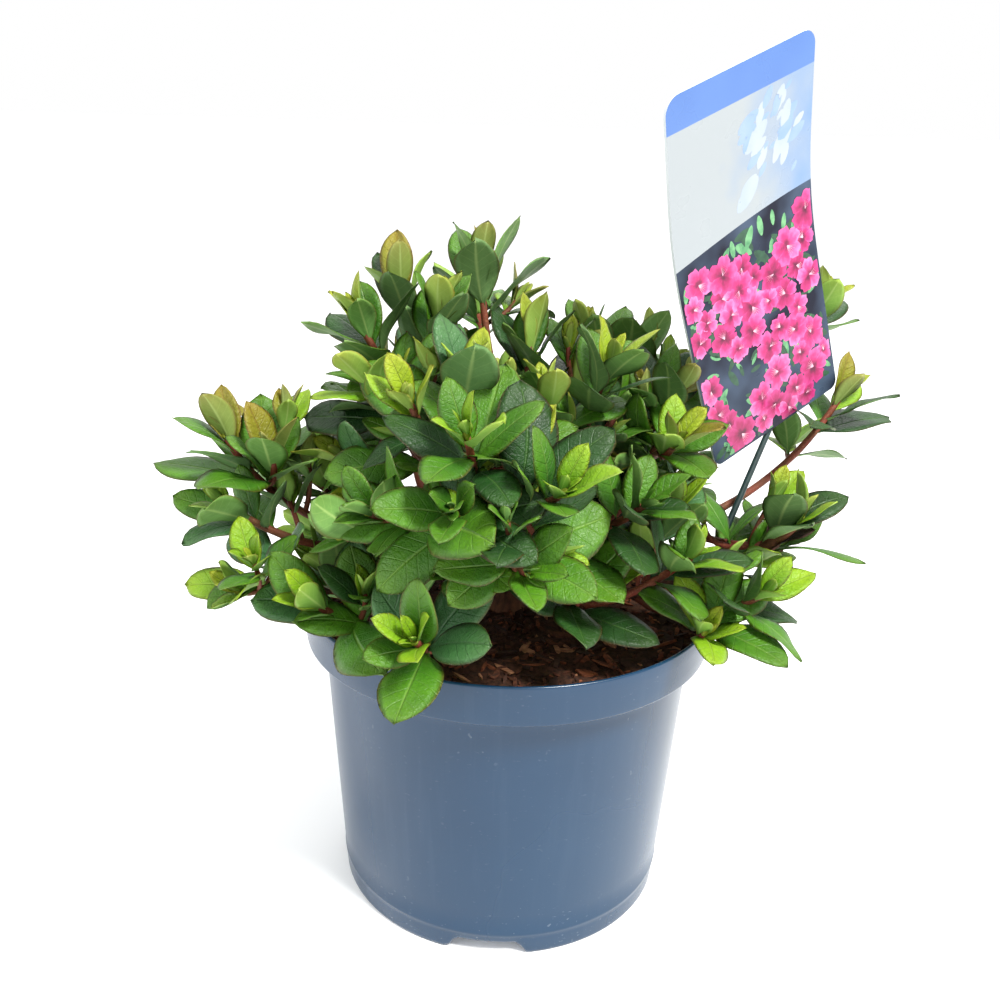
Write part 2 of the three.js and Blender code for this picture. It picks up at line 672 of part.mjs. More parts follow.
const limbs = [
  ["pot", pot(), MATERIALS.pot],
  ["compost", compost(), MATERIALS.compost],
  ["trunk", trunk(), MATERIALS.bark],
  ["label_card", labelCard(), MATERIALS.card],
  ["label_rod", labelRod(), MATERIALS.rod],
];
const sprays = [];
const taken = [];
for (const bough of BOUGHS) {
  const curve = boughCurve(bough);
  limbs.push([
    "bough_" + bough.name,
    solidOf(limbGeometry(curve, BOUGH.rootRadius, BOUGH.tipRadius, BOUGH.sides, BOUGH.steps)),
    MATERIALS.bark,
  ]);
  bough.sprays.forEach((spray, i) => {
    taken.push(leadOf(spray).site);
    const stem = stemCurve(spray, bough.sprays[1 - i], curve);
    sprays.push({ spray, stem, name: "foliage_" + spray.name, twigs: [], blades: [] });
  });
}
for (const [name, solid, material] of limbs) {
  addNode(name, solid, material);
  place(solid, name);
}

// Stems first, then side twigs, then the leaves a layer at a time, so that no spray crowds out the next
for (const entry of sprays) {
  const solid = solidOf(limbGeometry(entry.stem, STEM.rootRadius, STEM.tipRadius, STEM.sides, STEM.steps));
  place(solid, entry.name);
  entry.twigs.push(solid);
}
sprays.forEach((entry, index) => {
  entry.shoots = shootsOf(entry.spray, index + 1, entry.stem, taken).filter((shoot) => {
    if (shoot.curve === entry.stem) return true;
    const solid = solidOf(limbGeometry(shoot.curve, TWIG.rootRadius, TWIG.tipRadius, STEM.sides, TWIG.steps));
    if (touchesAnother(solid, entry.name)) return false;
    place(solid, entry.name);
    entry.twigs.push(solid);
    return true;
  });
  entry.leaves = entry.shoots.map((shoot, k) => leavesOf(shoot, 100 * (index + 1) + k));
});
const EVERY_OTHER = 2;
for (let j = 0; j < SHOOT.leaves; j += EVERY_OTHER)
  for (const entry of sprays)
    entry.leaves.forEach((leaves, k) => {
      const blade = leaves[j] && fittingLeaf(leaves[j], entry.shoots[k], entry.name);
      if (!blade) return;
      place(blade, entry.name);
      entry.blades.push(blade);
    });
for (const entry of sprays) {
  addNode(entry.name, fused([...entry.twigs, ...entry.blades]), MATERIALS.foliage);
}

export default root;
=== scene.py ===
"""An evergreen azalea in a nursery pot, with its plant label: the finished look.

The shrub grows by the same seeded rule as the part's source. Each bough carries two sprays, and a spray is
one stem with leafy shoots that end in whorls of leaves. Here the limbs have bark, finer shoots grow on the
others, each shoot ends in small leaves and a bud, and every leaf is a folded, veined shell.
Lengths are in millimetres. Those of the meshes, the materials, the floor and the lights are in metres.
"""
from math import copysign, cos, hypot, pi, radians, sin, sqrt

import bpy
from mathutils import Matrix, Vector, noise
from mathutils.bvhtree import BVHTree


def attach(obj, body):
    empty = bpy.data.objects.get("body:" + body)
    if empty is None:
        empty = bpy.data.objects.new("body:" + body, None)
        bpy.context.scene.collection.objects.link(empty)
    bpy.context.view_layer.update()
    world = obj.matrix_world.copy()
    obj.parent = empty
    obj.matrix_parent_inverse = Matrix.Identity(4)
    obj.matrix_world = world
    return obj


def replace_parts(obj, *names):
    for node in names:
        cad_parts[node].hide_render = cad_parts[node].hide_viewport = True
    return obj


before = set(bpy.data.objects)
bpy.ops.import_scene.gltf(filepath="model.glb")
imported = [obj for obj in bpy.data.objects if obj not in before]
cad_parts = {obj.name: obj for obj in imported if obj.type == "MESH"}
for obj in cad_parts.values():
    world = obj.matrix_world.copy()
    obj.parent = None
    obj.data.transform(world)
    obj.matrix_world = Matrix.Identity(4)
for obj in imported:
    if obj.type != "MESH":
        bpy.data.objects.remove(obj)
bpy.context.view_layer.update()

MM = 0.001
UP = Vector((0, 0, 1))
GOLDEN_ANGLE = pi * (3 - sqrt(5))
FULL_TURN = 2 * pi

# The pot, its drain notches and the compost
POT_HEIGHT, RIM_RADIUS, BAND_HEIGHT, BAND_TAPER = 130, 85, 16.5, 0.6
NECK_RADIUS, FOOT_RADIUS, WALL = 77.1, 69.4, 1.6
NOTCH_COUNT, NOTCH_AZIMUTH, NOTCH_WIDTH, NOTCH_TOP, NOTCH_HEIGHT, NOTCH_DEPTH = 4, -94, 34, 24, 5.5, 7
SOIL_HEIGHT, SOIL_DOWN, SOIL_DEPTH, MOUND_HEIGHT, MOUND_RADIUS = 122.5, 2.2, 8, 1.6, 60
CHIPS, CHIP_LENGTH, CHIP_SLIMNESS, CHIP_THICKNESS = 1300, (2.4, 13.5), (0.14, 0.4), (0.5, 1.5)
CHIP_SHARES = (0.26, 0.6, 0.93)

# The limbs
TRUNK_HEIGHT, TRUNK_LEAN, WAIST_HEIGHT = 40, 3, 9
FLARE_RADIUS, WAIST_RADIUS, TRUNK_TIP_RADIUS = 8.5, 6, 3.4
GAP = 0.3
BOUGH_ROOT_RADIUS, BOUGH_TIP_RADIUS, BOUGH_SHARE, BOUGH_SAG, BOUGH_RISE = 2.5, 2.1, 0.52, 9, 0.75
STEM_RADIUS, STEM_BEND, STEM_APART = 1.4, 0.42, 1.45
TWIG_BEND, TWIG_FIRST, TWIG_LAST = 0.5, 0.4, 0.85
SHOOT_SPREAD, SHOOT_DROP, SHOOT_ROOM, SHOOT_TRIES, SHOOT_LEAVES = 30, (8, 26), 23, 12, 9
SHOOT_BEYOND, SHOOT_INNER = 4, 45
ROOM_PAST_RIM, ROOM_OVER_RIM, LEAST_RISE, ROOM_BY_LABEL = 4, 12, 2, 14
LEADING_TWIG, SIDE_TWIG, FINER_TWIG = (1.9, 1.35), (1.45, 1.2), (1.15, 0.95)
LEADING_STEPS, SIDE_STEPS, FINER_STEPS = 14, 9, 7
TWIG_RELIEF, FINER_RELIEF, JOINT_SHARE = 0.14, 0.1, 0.93
HAIRS, FINER_HAIRS, HAIR_LENGTH, HAIR_RING, FINER_HAIR_RING = 40, 18, (0.9, 1.7), 1.35, 1.0

# The leaves, old at the foot of a whorl and young at its tip
OLD_LENGTH, YOUNG_LENGTH = 37, 19
OLD_WIDTH, YOUNG_WIDTH = 0.56, 0.42
OLD_OPEN, YOUNG_OPEN, OPEN_JITTER, SIZE_JITTER, UPRIGHT_CLOSING = 74, 22, 16, 0.4, 0.5
FIRST_BACK, LAST_BACK = 21, 2
LEAF_LIFT, LEAF_HANG, FACING_UP = 0.1, 0.45, 0.5
STEEP, FIRST_ON_STEEP = 0.93, 2
LEAF_THICKNESS = 0.45
LEAF_ROWS, LEAF_COLUMNS, SMALL_LEAF = (12, 8), (6, 4), 22
TIP_LEAVES, TIP_LENGTH, TIP_SIZE, TIP_OPEN, TIP_WIDTH, TIP_AGE = 3, 12, (0.8, 1.25), (8, 26), 0.34, -0.2
BUD_SIZE, FINER_BUD_SIZE, DRY_BUD, DRY_BUD_SIZE = (3.2, 5), (2.4, 3.4), "right_low", 13

# Finer shoots, part of the way up each of the others
FINER_SHOOTS, FINER_TRIES, FINER_LENGTH, FINER_ROOM, FINER_SCALE = 1, 7, (14, 22), 14.5, 0.76
FINER_SPAN, FINER_RISE, FINER_SIZE = (0.35, 0.8), 24, (0.85, 1.15)

# The label
LABEL_WIDTH, LABEL_HEIGHT, LABEL_THICKNESS, LABEL_CORNER = 74, 153, 1, 6.5
LABEL_TURN, LABEL_ROLL, LABEL_CURL, CURL_FROM, CURL_TO = 34, 21.8, 13.5, 55, 125
LABEL_FOOT = Vector((112.3, 28, 197))
ROD_RADIUS, ROD_FOOT, TAB_HEIGHT, ROD_ASIDE, ROD_BEHIND = 1.5, (76.5, -4.5), 7, 8, 3.4
ROD_SEEN_FROM, CLEAR_BEFORE_ROD, CLEAR_BESIDE_ROD, ROD_HIDDEN_SHARE = (257, 19), 80, 6, 0.33
CLEAR_BEFORE_LABEL, CLEAR_INSET, CLEAR_FROM = 60, 3, 8

# Boughs: name, height of the fork, and two sprays. A spray has a name, the azimuth, reach and height of its
# leading shoot, the angle that shoot points up by, a number of shoots and the tone of its young leaves.
BOUGHS = [
    ("left", 20, [
        ("left_high", 191, 112, 198, 64, 3, "bronze"), ("left_low", 201, 114, 178, 40, 2, "fresh")]),
    ("front_left", 10, [
        ("left_rim", 224, 97, 151, 38, 3, "fresh"), ("front_rim", 252, 101, 152, 38, 1, "fresh")]),
    ("top_left", 34, [
        ("left_top", 183, 61, 241, 64, 4, "yellow"), ("top_left", 165, 49, 252, 80, 2, "bronze")]),
    ("middle_left", 28, [
        ("crown_left", 214, 66, 226, 50, 4, "yellow"), ("centre_left", 240, 72, 224, 52, 4, "yellow")]),
    ("middle", 18, [
        ("centre", 259, 84, 219, 48, 4, "fresh"), ("centre_low", 258, 96, 198, 22, 3, "mid")]),
    ("top", 38, [
        ("top", 136, 21, 261, 86, 2, "bronze"), ("top_middle", 70, 17, 231, 78, 4, "yellow")]),
    ("top_right", 32, [
        ("top_right", 340, 38, 229, 66, 4, "yellow"), ("centre_right", 300, 52, 188, 50, 4, "fresh")]),
    ("upper_right", 26, [
        ("right_top", 4, 66, 218, 62, 3, "bronze"), ("right_back", 25, 146, 242, 62, 2, "yellow")]),
    ("right", 18, [
        ("right_far", 18, 151, 206, 60, 1, "bronze"), ("right_middle", 352, 115, 170, 68, 3, "fresh")]),
    ("right_low", 9, [
        ("right_low", 354, 102, 154, 50, 2, "mid"), ("right_rim", 337, 104, 148, 40, 3, "fresh")]),
    ("front_right", 10, [
        ("front_right", 324, 82, 166, 46, 2, "fresh"), ("front_low", 290, 64, 156, 46, 1, "fresh")]),
    ("middle_right", 24, [
        ("middle_right", 310, 72, 188, 44, 3, "mid"), ("inner_right", 358, 40, 206, 52, 3, "mid")]),
    ("back_right", 22, [
        ("back_right_high", 46, 82, 220, 56, 4, "yellow"), ("back_right_low", 52, 100, 168, 40, 4, "mid")]),
    ("back", 28, [
        ("back_high", 92, 76, 200, 48, 4, "fresh"), ("back_low", 95, 102, 165, 40, 4, "mid")]),
    ("back_left", 24, [
        ("back_left_high", 134, 74, 208, 50, 4, "bronze"), ("back_left_low", 148, 100, 167, 40, 4, "fresh")]),
]

# The first seeds of the runs of random numbers
SPRAY_SEED, LEAF_SEED, FINER_SEED, FINER_LEAF_SEED, FINER_SPRAY_SEED = 31, 100, 900, 5000, 501
BLADE_SEED, CHIP_SEED, FIELD_SEED, PICTURE_SEED = 7000, 4711, 58, 93

# The camera, worked out from the pot's rim and foot
EYE = Vector((-4.81, -418.1, 317.3))
LOOK = Vector((0, 0.94252, -0.33414))
RIGHT = Vector((0.99953, 0.01026, 0.02895))
LENS = 38.93


def rgb(red, green, blue):
    """A colour given in sRGB from 0 to 255, as linear values."""
    def linear(value):
        value /= 255
        return value / 12.92 if value <= 0.04045 else ((value + 0.055) / 1.055) ** 2.4
    return linear(red), linear(green), linear(blue), 1


def lerp(a, b, t):
    return a + (b - a) * t


def smoothstep(low, high, value):
    t = min(max((value - low) / (high - low), 0), 1)
    return t * t * (3 - 2 * t)


def seeded(seed):
    """A repeatable run of numbers from 0 to 1, the same as in the part's source."""
    state = seed * 2654435761 & 0xFFFFFFFF
    while True:
        state = (state * 1664525 + 1013904223) & 0xFFFFFFFF
        yield state / 4294967296


def polar(azimuth, reach, height):
    a = radians(azimuth)
    return Vector((reach * cos(a), reach * sin(a), height))


def heading(azimuth, lift):
    """The way that points to an azimuth and up by an angle."""
    lift = radians(lift)
    return polar(azimuth, cos(lift), sin(lift))


def turned(way, other, angle):
    """A way turned by an angle towards another that is square to it."""
    return way * cos(angle) + other * sin(angle)


def turns(count):
    """Angles that part a full turn equally."""
    return [FULL_TURN * k / count for k in range(count)]


def sides_of(direction):
    across = direction.cross(UP)
    if across.length_squared < 1e-4:
        across = Vector((1, 0, 0))
    across.normalize()
    return across, across.cross(direction).normalized()


def square_to(vector, direction):
    return (vector - direction * vector.dot(direction)).normalized()


def bezier(points, t):
    """A point on a Bezier curve, by repeated interpolation."""
    while len(points) > 1:
        points = [a.lerp(b, t) for a, b in zip(points, points[1:])]
    return points[0]


def curve_points(points, steps):
    return [bezier(points, i / steps) for i in range(steps + 1)]


def add_object(name, data):
    made = bpy.data.objects.new(name, data)
    bpy.context.scene.collection.objects.link(made)
    return made


# Materials


class Nodes:
    """A short way to write a material's node tree."""

    def __init__(self, name):
        self.material = bpy.data.materials.new(name)
        self.material.use_nodes = True
        self.tree = self.material.node_tree
        self.shader = self.tree.nodes["Principled BSDF"]

    def add(self, kind, inputs=(), **settings):
        node = self.tree.nodes.new(kind)
        for key, value in settings.items():
            setattr(node, key, value)
        for key, value in dict(inputs).items():
            self.put(node.inputs[key], value)
        return node

    def put(self, socket, value):
        if isinstance(value, bpy.types.NodeSocket):
            self.tree.links.new(value, socket)
        else:
            socket.default_value = value

    def math(self, operation, a, b=0.0, c=0.0, clamp=False):
        node = self.add("ShaderNodeMath", {0: a, 1: b, 2: c}, operation=operation, use_clamp=clamp)
        return node.outputs[0]

    def mix(self, factor, a, b):
        node = self.add("ShaderNodeMix", data_type="RGBA")
        self.put(node.inputs[0], factor)
        self.put(node.inputs[6], a)
        self.put(node.inputs[7], b)
        return node.outputs[2]

    def noise(self, scale, detail=2.0, roughness=0.5, vector=None):
        inputs = {"Scale": scale, "Detail": detail, "Roughness": roughness}
        inputs["Vector"] = vector or self.place()
        return self.add("ShaderNodeTexNoise", inputs).outputs["Fac"]

    def place(self, stretch=None):
        output = self.add("ShaderNodeTexCoord").outputs["Object"]
        if stretch:
            output = self.add("ShaderNodeMapping", {"Vector": output, "Scale": stretch}).outputs[0]
        return output

    def uv(self):
        return self.add("ShaderNodeSeparateXYZ", {0: self.add("ShaderNodeTexCoord").outputs["UV"]}).outputs

    def span(self, value, low, high, to_low=0.0, to_high=1.0):
        inputs = {"Value": value, "From Min": low, "From Max": high, "To Min": to_low, "To Max": to_high}
        return self.add("ShaderNodeMapRange", inputs, clamp=True).outputs[0]

    def bump(self, height, strength, distance):
        node = self.add("ShaderNodeBump", {"Height": height, "Strength": strength, "Distance": distance})
        self.put(self.shader.inputs["Normal"], node.outputs[0])

    def surface(self, colour, roughness, specular=0.5):
        self.put(self.shader.inputs["Base Color"], colour)
        self.put(self.shader.inputs["Roughness"], roughness)
        self.shader.inputs["Specular IOR Level"].default_value = specular
        return self.material


# How much a leaf's midrib shows above and below, its side veins' number and slant, and the net between them
UPPER_RIB, UNDER_RIB = 0.34, 0.6
SIDE_VEINS, VEIN_SLANT, NET_SCALE = 8, 0.17, 820.0


def leaf_material(name, base, dark, edge, vein, edge_share, roughness, quilt=1.0, rib=UPPER_RIB):
    """A veined blade. Its UV runs across it from 0 to 1 and from its root, 0, to its tip, 1."""
    n = Nodes(name)
    across, along = n.uv()[:2]
    side = n.math("ABSOLUTE", n.math("MULTIPLY_ADD", across, 2, -1))
    midrib = n.span(side, 0.015, 0.07 + 0.14 * (rib - UPPER_RIB), 1, 0)
    phase = n.math("MULTIPLY", n.math("SUBTRACT", along, n.math("MULTIPLY", side, VEIN_SLANT)), SIDE_VEINS)
    wave = n.math("ABSOLUTE", n.math("SUBTRACT", n.math("FRACT", phase), 0.5))
    side_vein = n.span(wave, 0.43, 0.5)
    inputs = {"Vector": n.place(), "Scale": NET_SCALE}
    cells = n.add("ShaderNodeTexVoronoi", inputs, feature="DISTANCE_TO_EDGE").outputs[0]
    net = n.span(cells, 0.02, 0.16, 1, 0)
    mottled = n.mix(n.span(n.noise(60, 3), 0.3, 0.7), base, dark)
    mottled = n.mix(n.span(n.noise(900, 2), 0.35, 0.75, 0, 0.35), mottled, dark)
    margin = n.math("POWER", side, 5)
    tip = n.math("POWER", along, 3)
    edged = n.mix(n.math("MULTIPLY", n.math("MAXIMUM", margin, tip), edge_share, clamp=True), mottled, edge)
    edged = n.mix(n.span(side, 0.9, 0.98, 0, 0.5), edged, rgb(108, 74, 36))
    # Painted shade: the net's grooves, which the bump below presses in, are also darkened.
    veined = n.mix(n.math("MULTIPLY", net, 0.2), edged, dark)
    veined = n.mix(n.math("MULTIPLY", side_vein, 0.10 + 0.4 * (rib - UPPER_RIB)), veined, vein)
    veined = n.mix(n.math("MULTIPLY", midrib, rib), veined, vein)
    height = n.math("SUBTRACT", n.math("MULTIPLY", side_vein, -0.5), n.math("MULTIPLY", midrib, 1.3))
    height = n.math("SUBTRACT", height, n.math("MULTIPLY", net, 0.16))
    n.bump(n.math("ADD", height, n.math("MULTIPLY", n.noise(650, 3, 0.6), 1.2)), 0.7 * quilt, 0.0006)
    rough = n.span(n.noise(300, 2), 0.3, 0.7, roughness - 0.05, roughness + 0.08)
    return n.surface(veined, rough, 0.36)


LEAF_TONES = {
    "deep": (rgb(36, 80, 28), rgb(18, 48, 19), rgb(60, 84, 28), rgb(82, 120, 54), 0.4, 0.42),
    "mid": (rgb(76, 128, 20), rgb(42, 92, 20), rgb(102, 126, 28), rgb(126, 162, 70), 0.4, 0.42),
    # Partly a bluish leaf green and partly painted sheen: this tone stands in for the white surroundings
    # mirrored on the leaves.
    "grey": (rgb(68, 116, 66), rgb(42, 86, 44), rgb(90, 116, 56), rgb(50, 86, 46), 0.35, 0.36),
    "fresh": (rgb(132, 172, 28), rgb(92, 142, 22), rgb(154, 162, 38), rgb(166, 194, 84), 0.5, 0.42),
    "yellow": (rgb(150, 174, 36), rgb(118, 150, 28), rgb(166, 144, 44), rgb(178, 192, 92), 0.5, 0.44),
    "dry": (rgb(52, 32, 26), rgb(32, 20, 18), rgb(70, 44, 32), rgb(84, 56, 40), 0.5, 0.75),
    "bronze": (rgb(134, 142, 34), rgb(108, 112, 28), rgb(148, 96, 40), rgb(156, 116, 54), 0.45, 0.44),
}


def leaf_materials():
    """For each tone, the material of the upper side and the paler one of the under side."""
    made = {}
    for tone, (base, dark, edge, vein, share, roughness) in LEAF_TONES.items():
        pale = tuple(lerp(a, b, 0.45) for a, b in zip(base, rgb(150, 190, 120)))
        faint = tuple(lerp(a, b, 0.35) for a, b in zip(dark, rgb(130, 170, 100)))
        lighter = tuple(lerp(a, b, 0.5) for a, b in zip(pale, rgb(190, 206, 130)))
        made[tone] = (
            leaf_material("leaf_" + tone, base, dark, edge, vein, share, roughness),
            leaf_material("leaf_under_" + tone, pale, faint, edge, lighter, share, 0.55, -0.9, UNDER_RIB),
        )
    return made


def bark_material(name, light, dark, crack, scale):
    n = Nodes(name)
    fibres = n.noise(scale, 4, 0.6, n.place((1, 1, 0.25)))
    patches = n.noise(scale * 0.3, 2)
    colour = n.mix(n.span(fibres, 0.35, 0.65), dark, light)
    colour = n.mix(n.span(patches, 0.5, 0.7, 0, 0.6), colour, crack)
    n.bump(fibres, 0.7, 0.0006)
    return n.surface(colour, 0.8, 0.25)


def twig_material():
    n = Nodes("twig_bark")
    patches = n.noise(120, 3)
    colour = n.mix(n.span(patches, 0.35, 0.65), rgb(116, 48, 34), rgb(94, 58, 34))
    colour = n.mix(n.span(n.noise(1400, 2), 0.55, 0.75, 0, 0.55), colour, rgb(160, 108, 72))
    n.bump(n.noise(1600, 3), 0.6, 0.0003)
    return n.surface(colour, 0.62, 0.35)


def pot_material():
    n = Nodes("pot_plastic")
    cloud = n.noise(9, 3, 0.5)
    colour = n.mix(n.span(cloud, 0.3, 0.7), rgb(14, 48, 76), rgb(20, 55, 84))
    # Painted reflection: faint lighter vertical streaks stand in for the studio lights mirrored in the
    # plastic; the same noise also gives a slight bump.
    reflection_streaks = n.noise(260, 2, 0.5, n.place((1, 1, 0.03)))
    colour = n.mix(n.span(reflection_streaks, 0.55, 0.8, 0, 0.03), colour, rgb(110, 128, 148))
    dust = n.math("MULTIPLY", n.span(n.noise(420, 1), 0.72, 0.76, 0, 0.3), n.span(n.noise(40, 2), 0.5, 0.7))
    height = n.add("ShaderNodeSeparateXYZ", {0: n.place()}).outputs[2]
    low = n.span(height, 0.002, 0.03, 1, 0.12)
    scuffs = n.math("MULTIPLY", n.span(n.noise(300, 3, 0.7, n.place((1, 1, 2.6))), 0.66, 0.72), low)
    colour = n.mix(n.math("MULTIPLY", n.math("MAXIMUM", dust, scuffs), 0.55), colour, rgb(168, 178, 188))
    fine = n.noise(1800, 2)
    n.bump(n.math("ADD", n.math("MULTIPLY", fine, 0.4), n.math("MULTIPLY", reflection_streaks, 0.16)), 0.10, 0.0003)
    return n.surface(colour, n.span(cloud, 0.3, 0.7, 0.22, 0.30), 0.45)


def grain_material(name, light, dark, grain, relief, finish, stretch=None):
    """Two colours in a grain of a scale, detail and roughness, with its relief and the surface's finish."""
    n = Nodes(name)
    height = n.noise(*grain, n.place(stretch))
    n.bump(height, *relief)
    return n.surface(n.mix(n.span(height, 0.35, 0.65), dark, light), *finish)


def chip_material(name, light, dark):
    return grain_material(name, light, dark, (700, 4, 0.65), (0.6, 0.0004), (0.85, 0.25), (0.3, 1, 1))


def card_finish(n, colour, specular=0.5):
    """The card's fine grain and soft gloss."""
    n.bump(n.noise(500, 2), 0.05, 0.0002)
    return n.surface(colour, n.span(n.noise(90, 2), 0.3, 0.7, 0.26, 0.34), specular)


def card_material(name, colour, tint, scale=30, specular=0.5):
    n = Nodes(name)
    return card_finish(n, n.mix(n.span(n.noise(scale, 2), 0.35, 0.7), colour, tint), specular)


def pale_material():
    """The card's pale field, a cloudy blue towards its right edge. Its UV runs across the card."""
    n = Nodes("label_pale")
    cloud = n.span(n.noise(34, 3), 0.3, 0.7, -0.25, 0.25)
    blue = n.span(n.math("ADD", n.uv()[0], cloud), 0.45, 1.15)
    return card_finish(n, n.mix(blue, rgb(146, 152, 156), rgb(104, 132, 170)))


def petal_material(name, throat, middle, rim):
    """A printed petal. Its UV runs from its throat, 0, to its rim, 1."""
    n = Nodes(name)
    rough = n.math("ADD", n.uv()[1], n.span(n.noise(420, 2), 0.3, 0.7, -0.16, 0.16))
    colour = n.mix(n.span(rough, 0.1, 0.5), throat, middle)
    return n.surface(n.mix(n.span(rough, 0.55, 1.0), colour, rim), 0.32)


def rod_material():
    return grain_material("label_rod_plastic", rgb(34, 56, 56), rgb(22, 40, 42),
                          (600, 3, 0.5), (0.25, 0.0002), (0.42, 0.5), (1, 1, 0.1))


# Mesh making


class Shape:
    """Faces gathered for one object, with a material and a UV for each."""

    def __init__(self, name, slot, materials):
        self.name, self.slot, self.materials = name, slot, list(materials)
        self.vertices, self.faces, self.indices, self.uvs = [], [], [], []

    def add(self, vertices, faces, material=0, uvs=None):
        """The faces' UVs come from their vertices, which have one each."""
        first = len(self.vertices)
        self.vertices += vertices
        for face in faces:
            self.faces.append([first + i for i in face])
            self.uvs += [uvs[i] for i in face] if uvs else [(0, 0)] * len(face)
        self.indices += [material] * len(faces) if isinstance(material, int) else material

    def finish(self, smooth=True):
        mesh = bpy.data.meshes.new(self.name)
        mesh.from_pydata([v * MM for v in self.vertices], [], self.faces)
        layer = mesh.uv_layers.new(name="Surface")
        layer.data.foreach_set("uv", [c for uv in self.uvs for c in uv])
        for material in self.materials:
            mesh.materials.append(material)
        mesh.polygons.foreach_set("material_index", self.indices)
        mesh.polygons.foreach_set("use_smooth", [smooth] * len(self.faces))
        mesh.update()
        piece = add_object(self.name, mesh)
        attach(piece, "root")
        return piece


def ring_faces(rings, sides, closed=True):
    """Quads between rings of vertices that follow one another."""
    faces = []
    for i in range(rings - 1):
        for k in range(sides if closed else sides - 1):
            a, b = i * sides + k, i * sides + (k + 1) % sides
            faces.append((a, b, b + sides, a + sides))
    return faces


def tube(shape, points, radius_at, sides, material=0, relief=None):
    """A closed limb along points, its rings carried on from one another so that it doesn't twist."""
    vertices, uvs = [], []
    across = None
    for i, point in enumerate(points):
        along = (points[min(i + 1, len(points) - 1)] - points[max(i - 1, 0)]).normalized()
        across = square_to(across, along) if across else sides_of(along)[0]
        other = along.cross(across)
        t = i / (len(points) - 1)
        for k, angle in enumerate(turns(sides)):
            way = turned(across, other, angle)
            spot = point + way * radius_at(t)
            if relief:
                spot += way * relief(spot, t)
            vertices.append(spot)
            uvs.append((k / sides, t))
    faces = ring_faces(len(points), sides)
    last = (len(points) - 1) * sides
    faces.append(tuple(range(sides - 1, -1, -1)))
    faces.append(tuple(last + k for k in range(sides)))
    shape.add(vertices, faces, material, uvs)


# The pot


def notch_lift(azimuth):
    """How far the foot is lifted at an azimuth by one of the drain notches."""
    turn = (azimuth - radians(NOTCH_AZIMUTH)) % (FULL_TURN / NOTCH_COUNT)
    off = min(turn, FULL_TURN / NOTCH_COUNT - turn) * FOOT_RADIUS
    return NOTCH_HEIGHT * (1 - smoothstep(NOTCH_TOP / 2, NOTCH_WIDTH / 2, off))


def pot_profile():
    """Radius, height and how far the height follows the notch, from the floor's middle round and back."""
    ledge = POT_HEIGHT - BAND_HEIGHT
    band = RIM_RADIUS - BAND_TAPER
    foot, neck, wall = FOOT_RADIUS, NECK_RADIUS, WALL
    inner = foot - NOTCH_DEPTH
    points = [(0.01, 0.8, 0), (18, 0.8, 0), (19, 0, 0), (40, 0, 0), (inner - 0.6, 0, 0), (inner, 0.3, 0)]
    points += [(inner, 0.2, 1), (inner + 0.5, 0, 1), (foot - 1.2, 0, 1), (foot - 0.4, 0.3, 1), (foot, 1, 1)]
    side = lambda z: lerp(foot, neck, z / ledge)
    points += [(side(2), 2, 1), (side(7.5), 7.5, 0.2)]
    ridge = 0.25
    points += [(side(z) + out, z, 0) for z, out in ((9, 0), (9.6, ridge), (10.6, ridge), (11.2, 0))]
    points += [(side(z), z, 0) for z in (20, 35, 50, 65, 80, 95, 106)]
    points += [(neck, ledge - 1.2, 0), (neck + 0.5, ledge - 0.5, 0), (neck + 1.4, ledge - 0.2, 0)]
    points += [(band - 1.4, ledge - 0.1, 0), (band - 0.85, ledge, 0), (band - 0.4, ledge + 0.2, 0)]
    points += [(band - 0.12, ledge + 0.6, 0), (band, ledge + 1.2, 0)]
    lip = WALL / 2
    points += [(lerp(band, RIM_RADIUS, t), lerp(ledge + 1.2, POT_HEIGHT - lip, t), 0)
               for t in (0.33, 0.66, 1)]
    for step in range(1, 6):
        angle = pi * step / 6
        points.append((RIM_RADIUS - lip + lip * cos(angle), POT_HEIGHT - lip + lip * sin(angle), 0))
    points += [(RIM_RADIUS - wall, POT_HEIGHT - 1.2, 0), (band - wall, ledge + 2.5, 0)]
    points += [(band - wall - 0.8, ledge + 1.6, 0), (neck - wall, ledge + 0.6, 0)]
    points += [(lerp(neck, foot, t) - wall, lerp(ledge, 9, t), 0) for t in (0.1, 0.5, 1)]
    points += [(inner - 2, 2.2, 0), (0.01, 2.2, 0)]
    return points


def make_pot():
    sides = 192
    profile = pot_profile()
    vertices = []
    for radius, height, follows in profile:
        for azimuth in turns(sides):
            lift = follows * notch_lift(azimuth)
            vertices.append(Vector((radius * cos(azimuth), radius * sin(azimuth), height + lift)))
    shape = Shape("pot_shell", "pot_plastic", [pot_material()])
    shape.add(vertices, ring_faces(len(profile), sides))
    piece = shape.finish()
    piece.data.set_sharp_from_angle(angle=radians(50))
    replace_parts(piece, "pot")


# The compost, with chips of bark on it


def soil_top(x, y):
    """The height of the compost's surface."""
    reach = hypot(x, y)
    mound = MOUND_HEIGHT * (1 - smoothstep(0, MOUND_RADIUS, reach))
    spot = Vector((x, y, 0))
    lumps = 1.5 * noise.noise(spot * 0.09) + 0.9 * noise.noise(spot * 0.28) + 0.5 * noise.noise(spot * 0.8)
    return SOIL_HEIGHT - SOIL_DOWN + mound + lumps


def make_soil():
    rings, sides = 44, 180
    outer = RIM_RADIUS - BAND_TAPER - WALL - 0.25
    vertices = []
    for i in range(rings):
        radius = 0.05 + (outer - 0.05) * i / (rings - 1)
        for k in range(sides):
            azimuth = FULL_TURN * (k + 0.5 * (i % 2)) / sides
            x, y = radius * cos(azimuth), radius * sin(azimuth)
            vertices.append(Vector((x, y, soil_top(x, y))))
    floor = [Vector((v.x, v.y, SOIL_HEIGHT - SOIL_DEPTH)) for v in vertices[-sides:]]
    soil = grain_material("soil", rgb(88, 56, 42), rgb(38, 25, 20), (450, 5, 0.7), (0.9, 0.0012), (0.93, 0.2))
    shape = Shape("soil_surface", "compost", [soil])
    shape.add(vertices + floor, ring_faces(rings + 1, sides))
    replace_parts(shape.finish(), "compost")


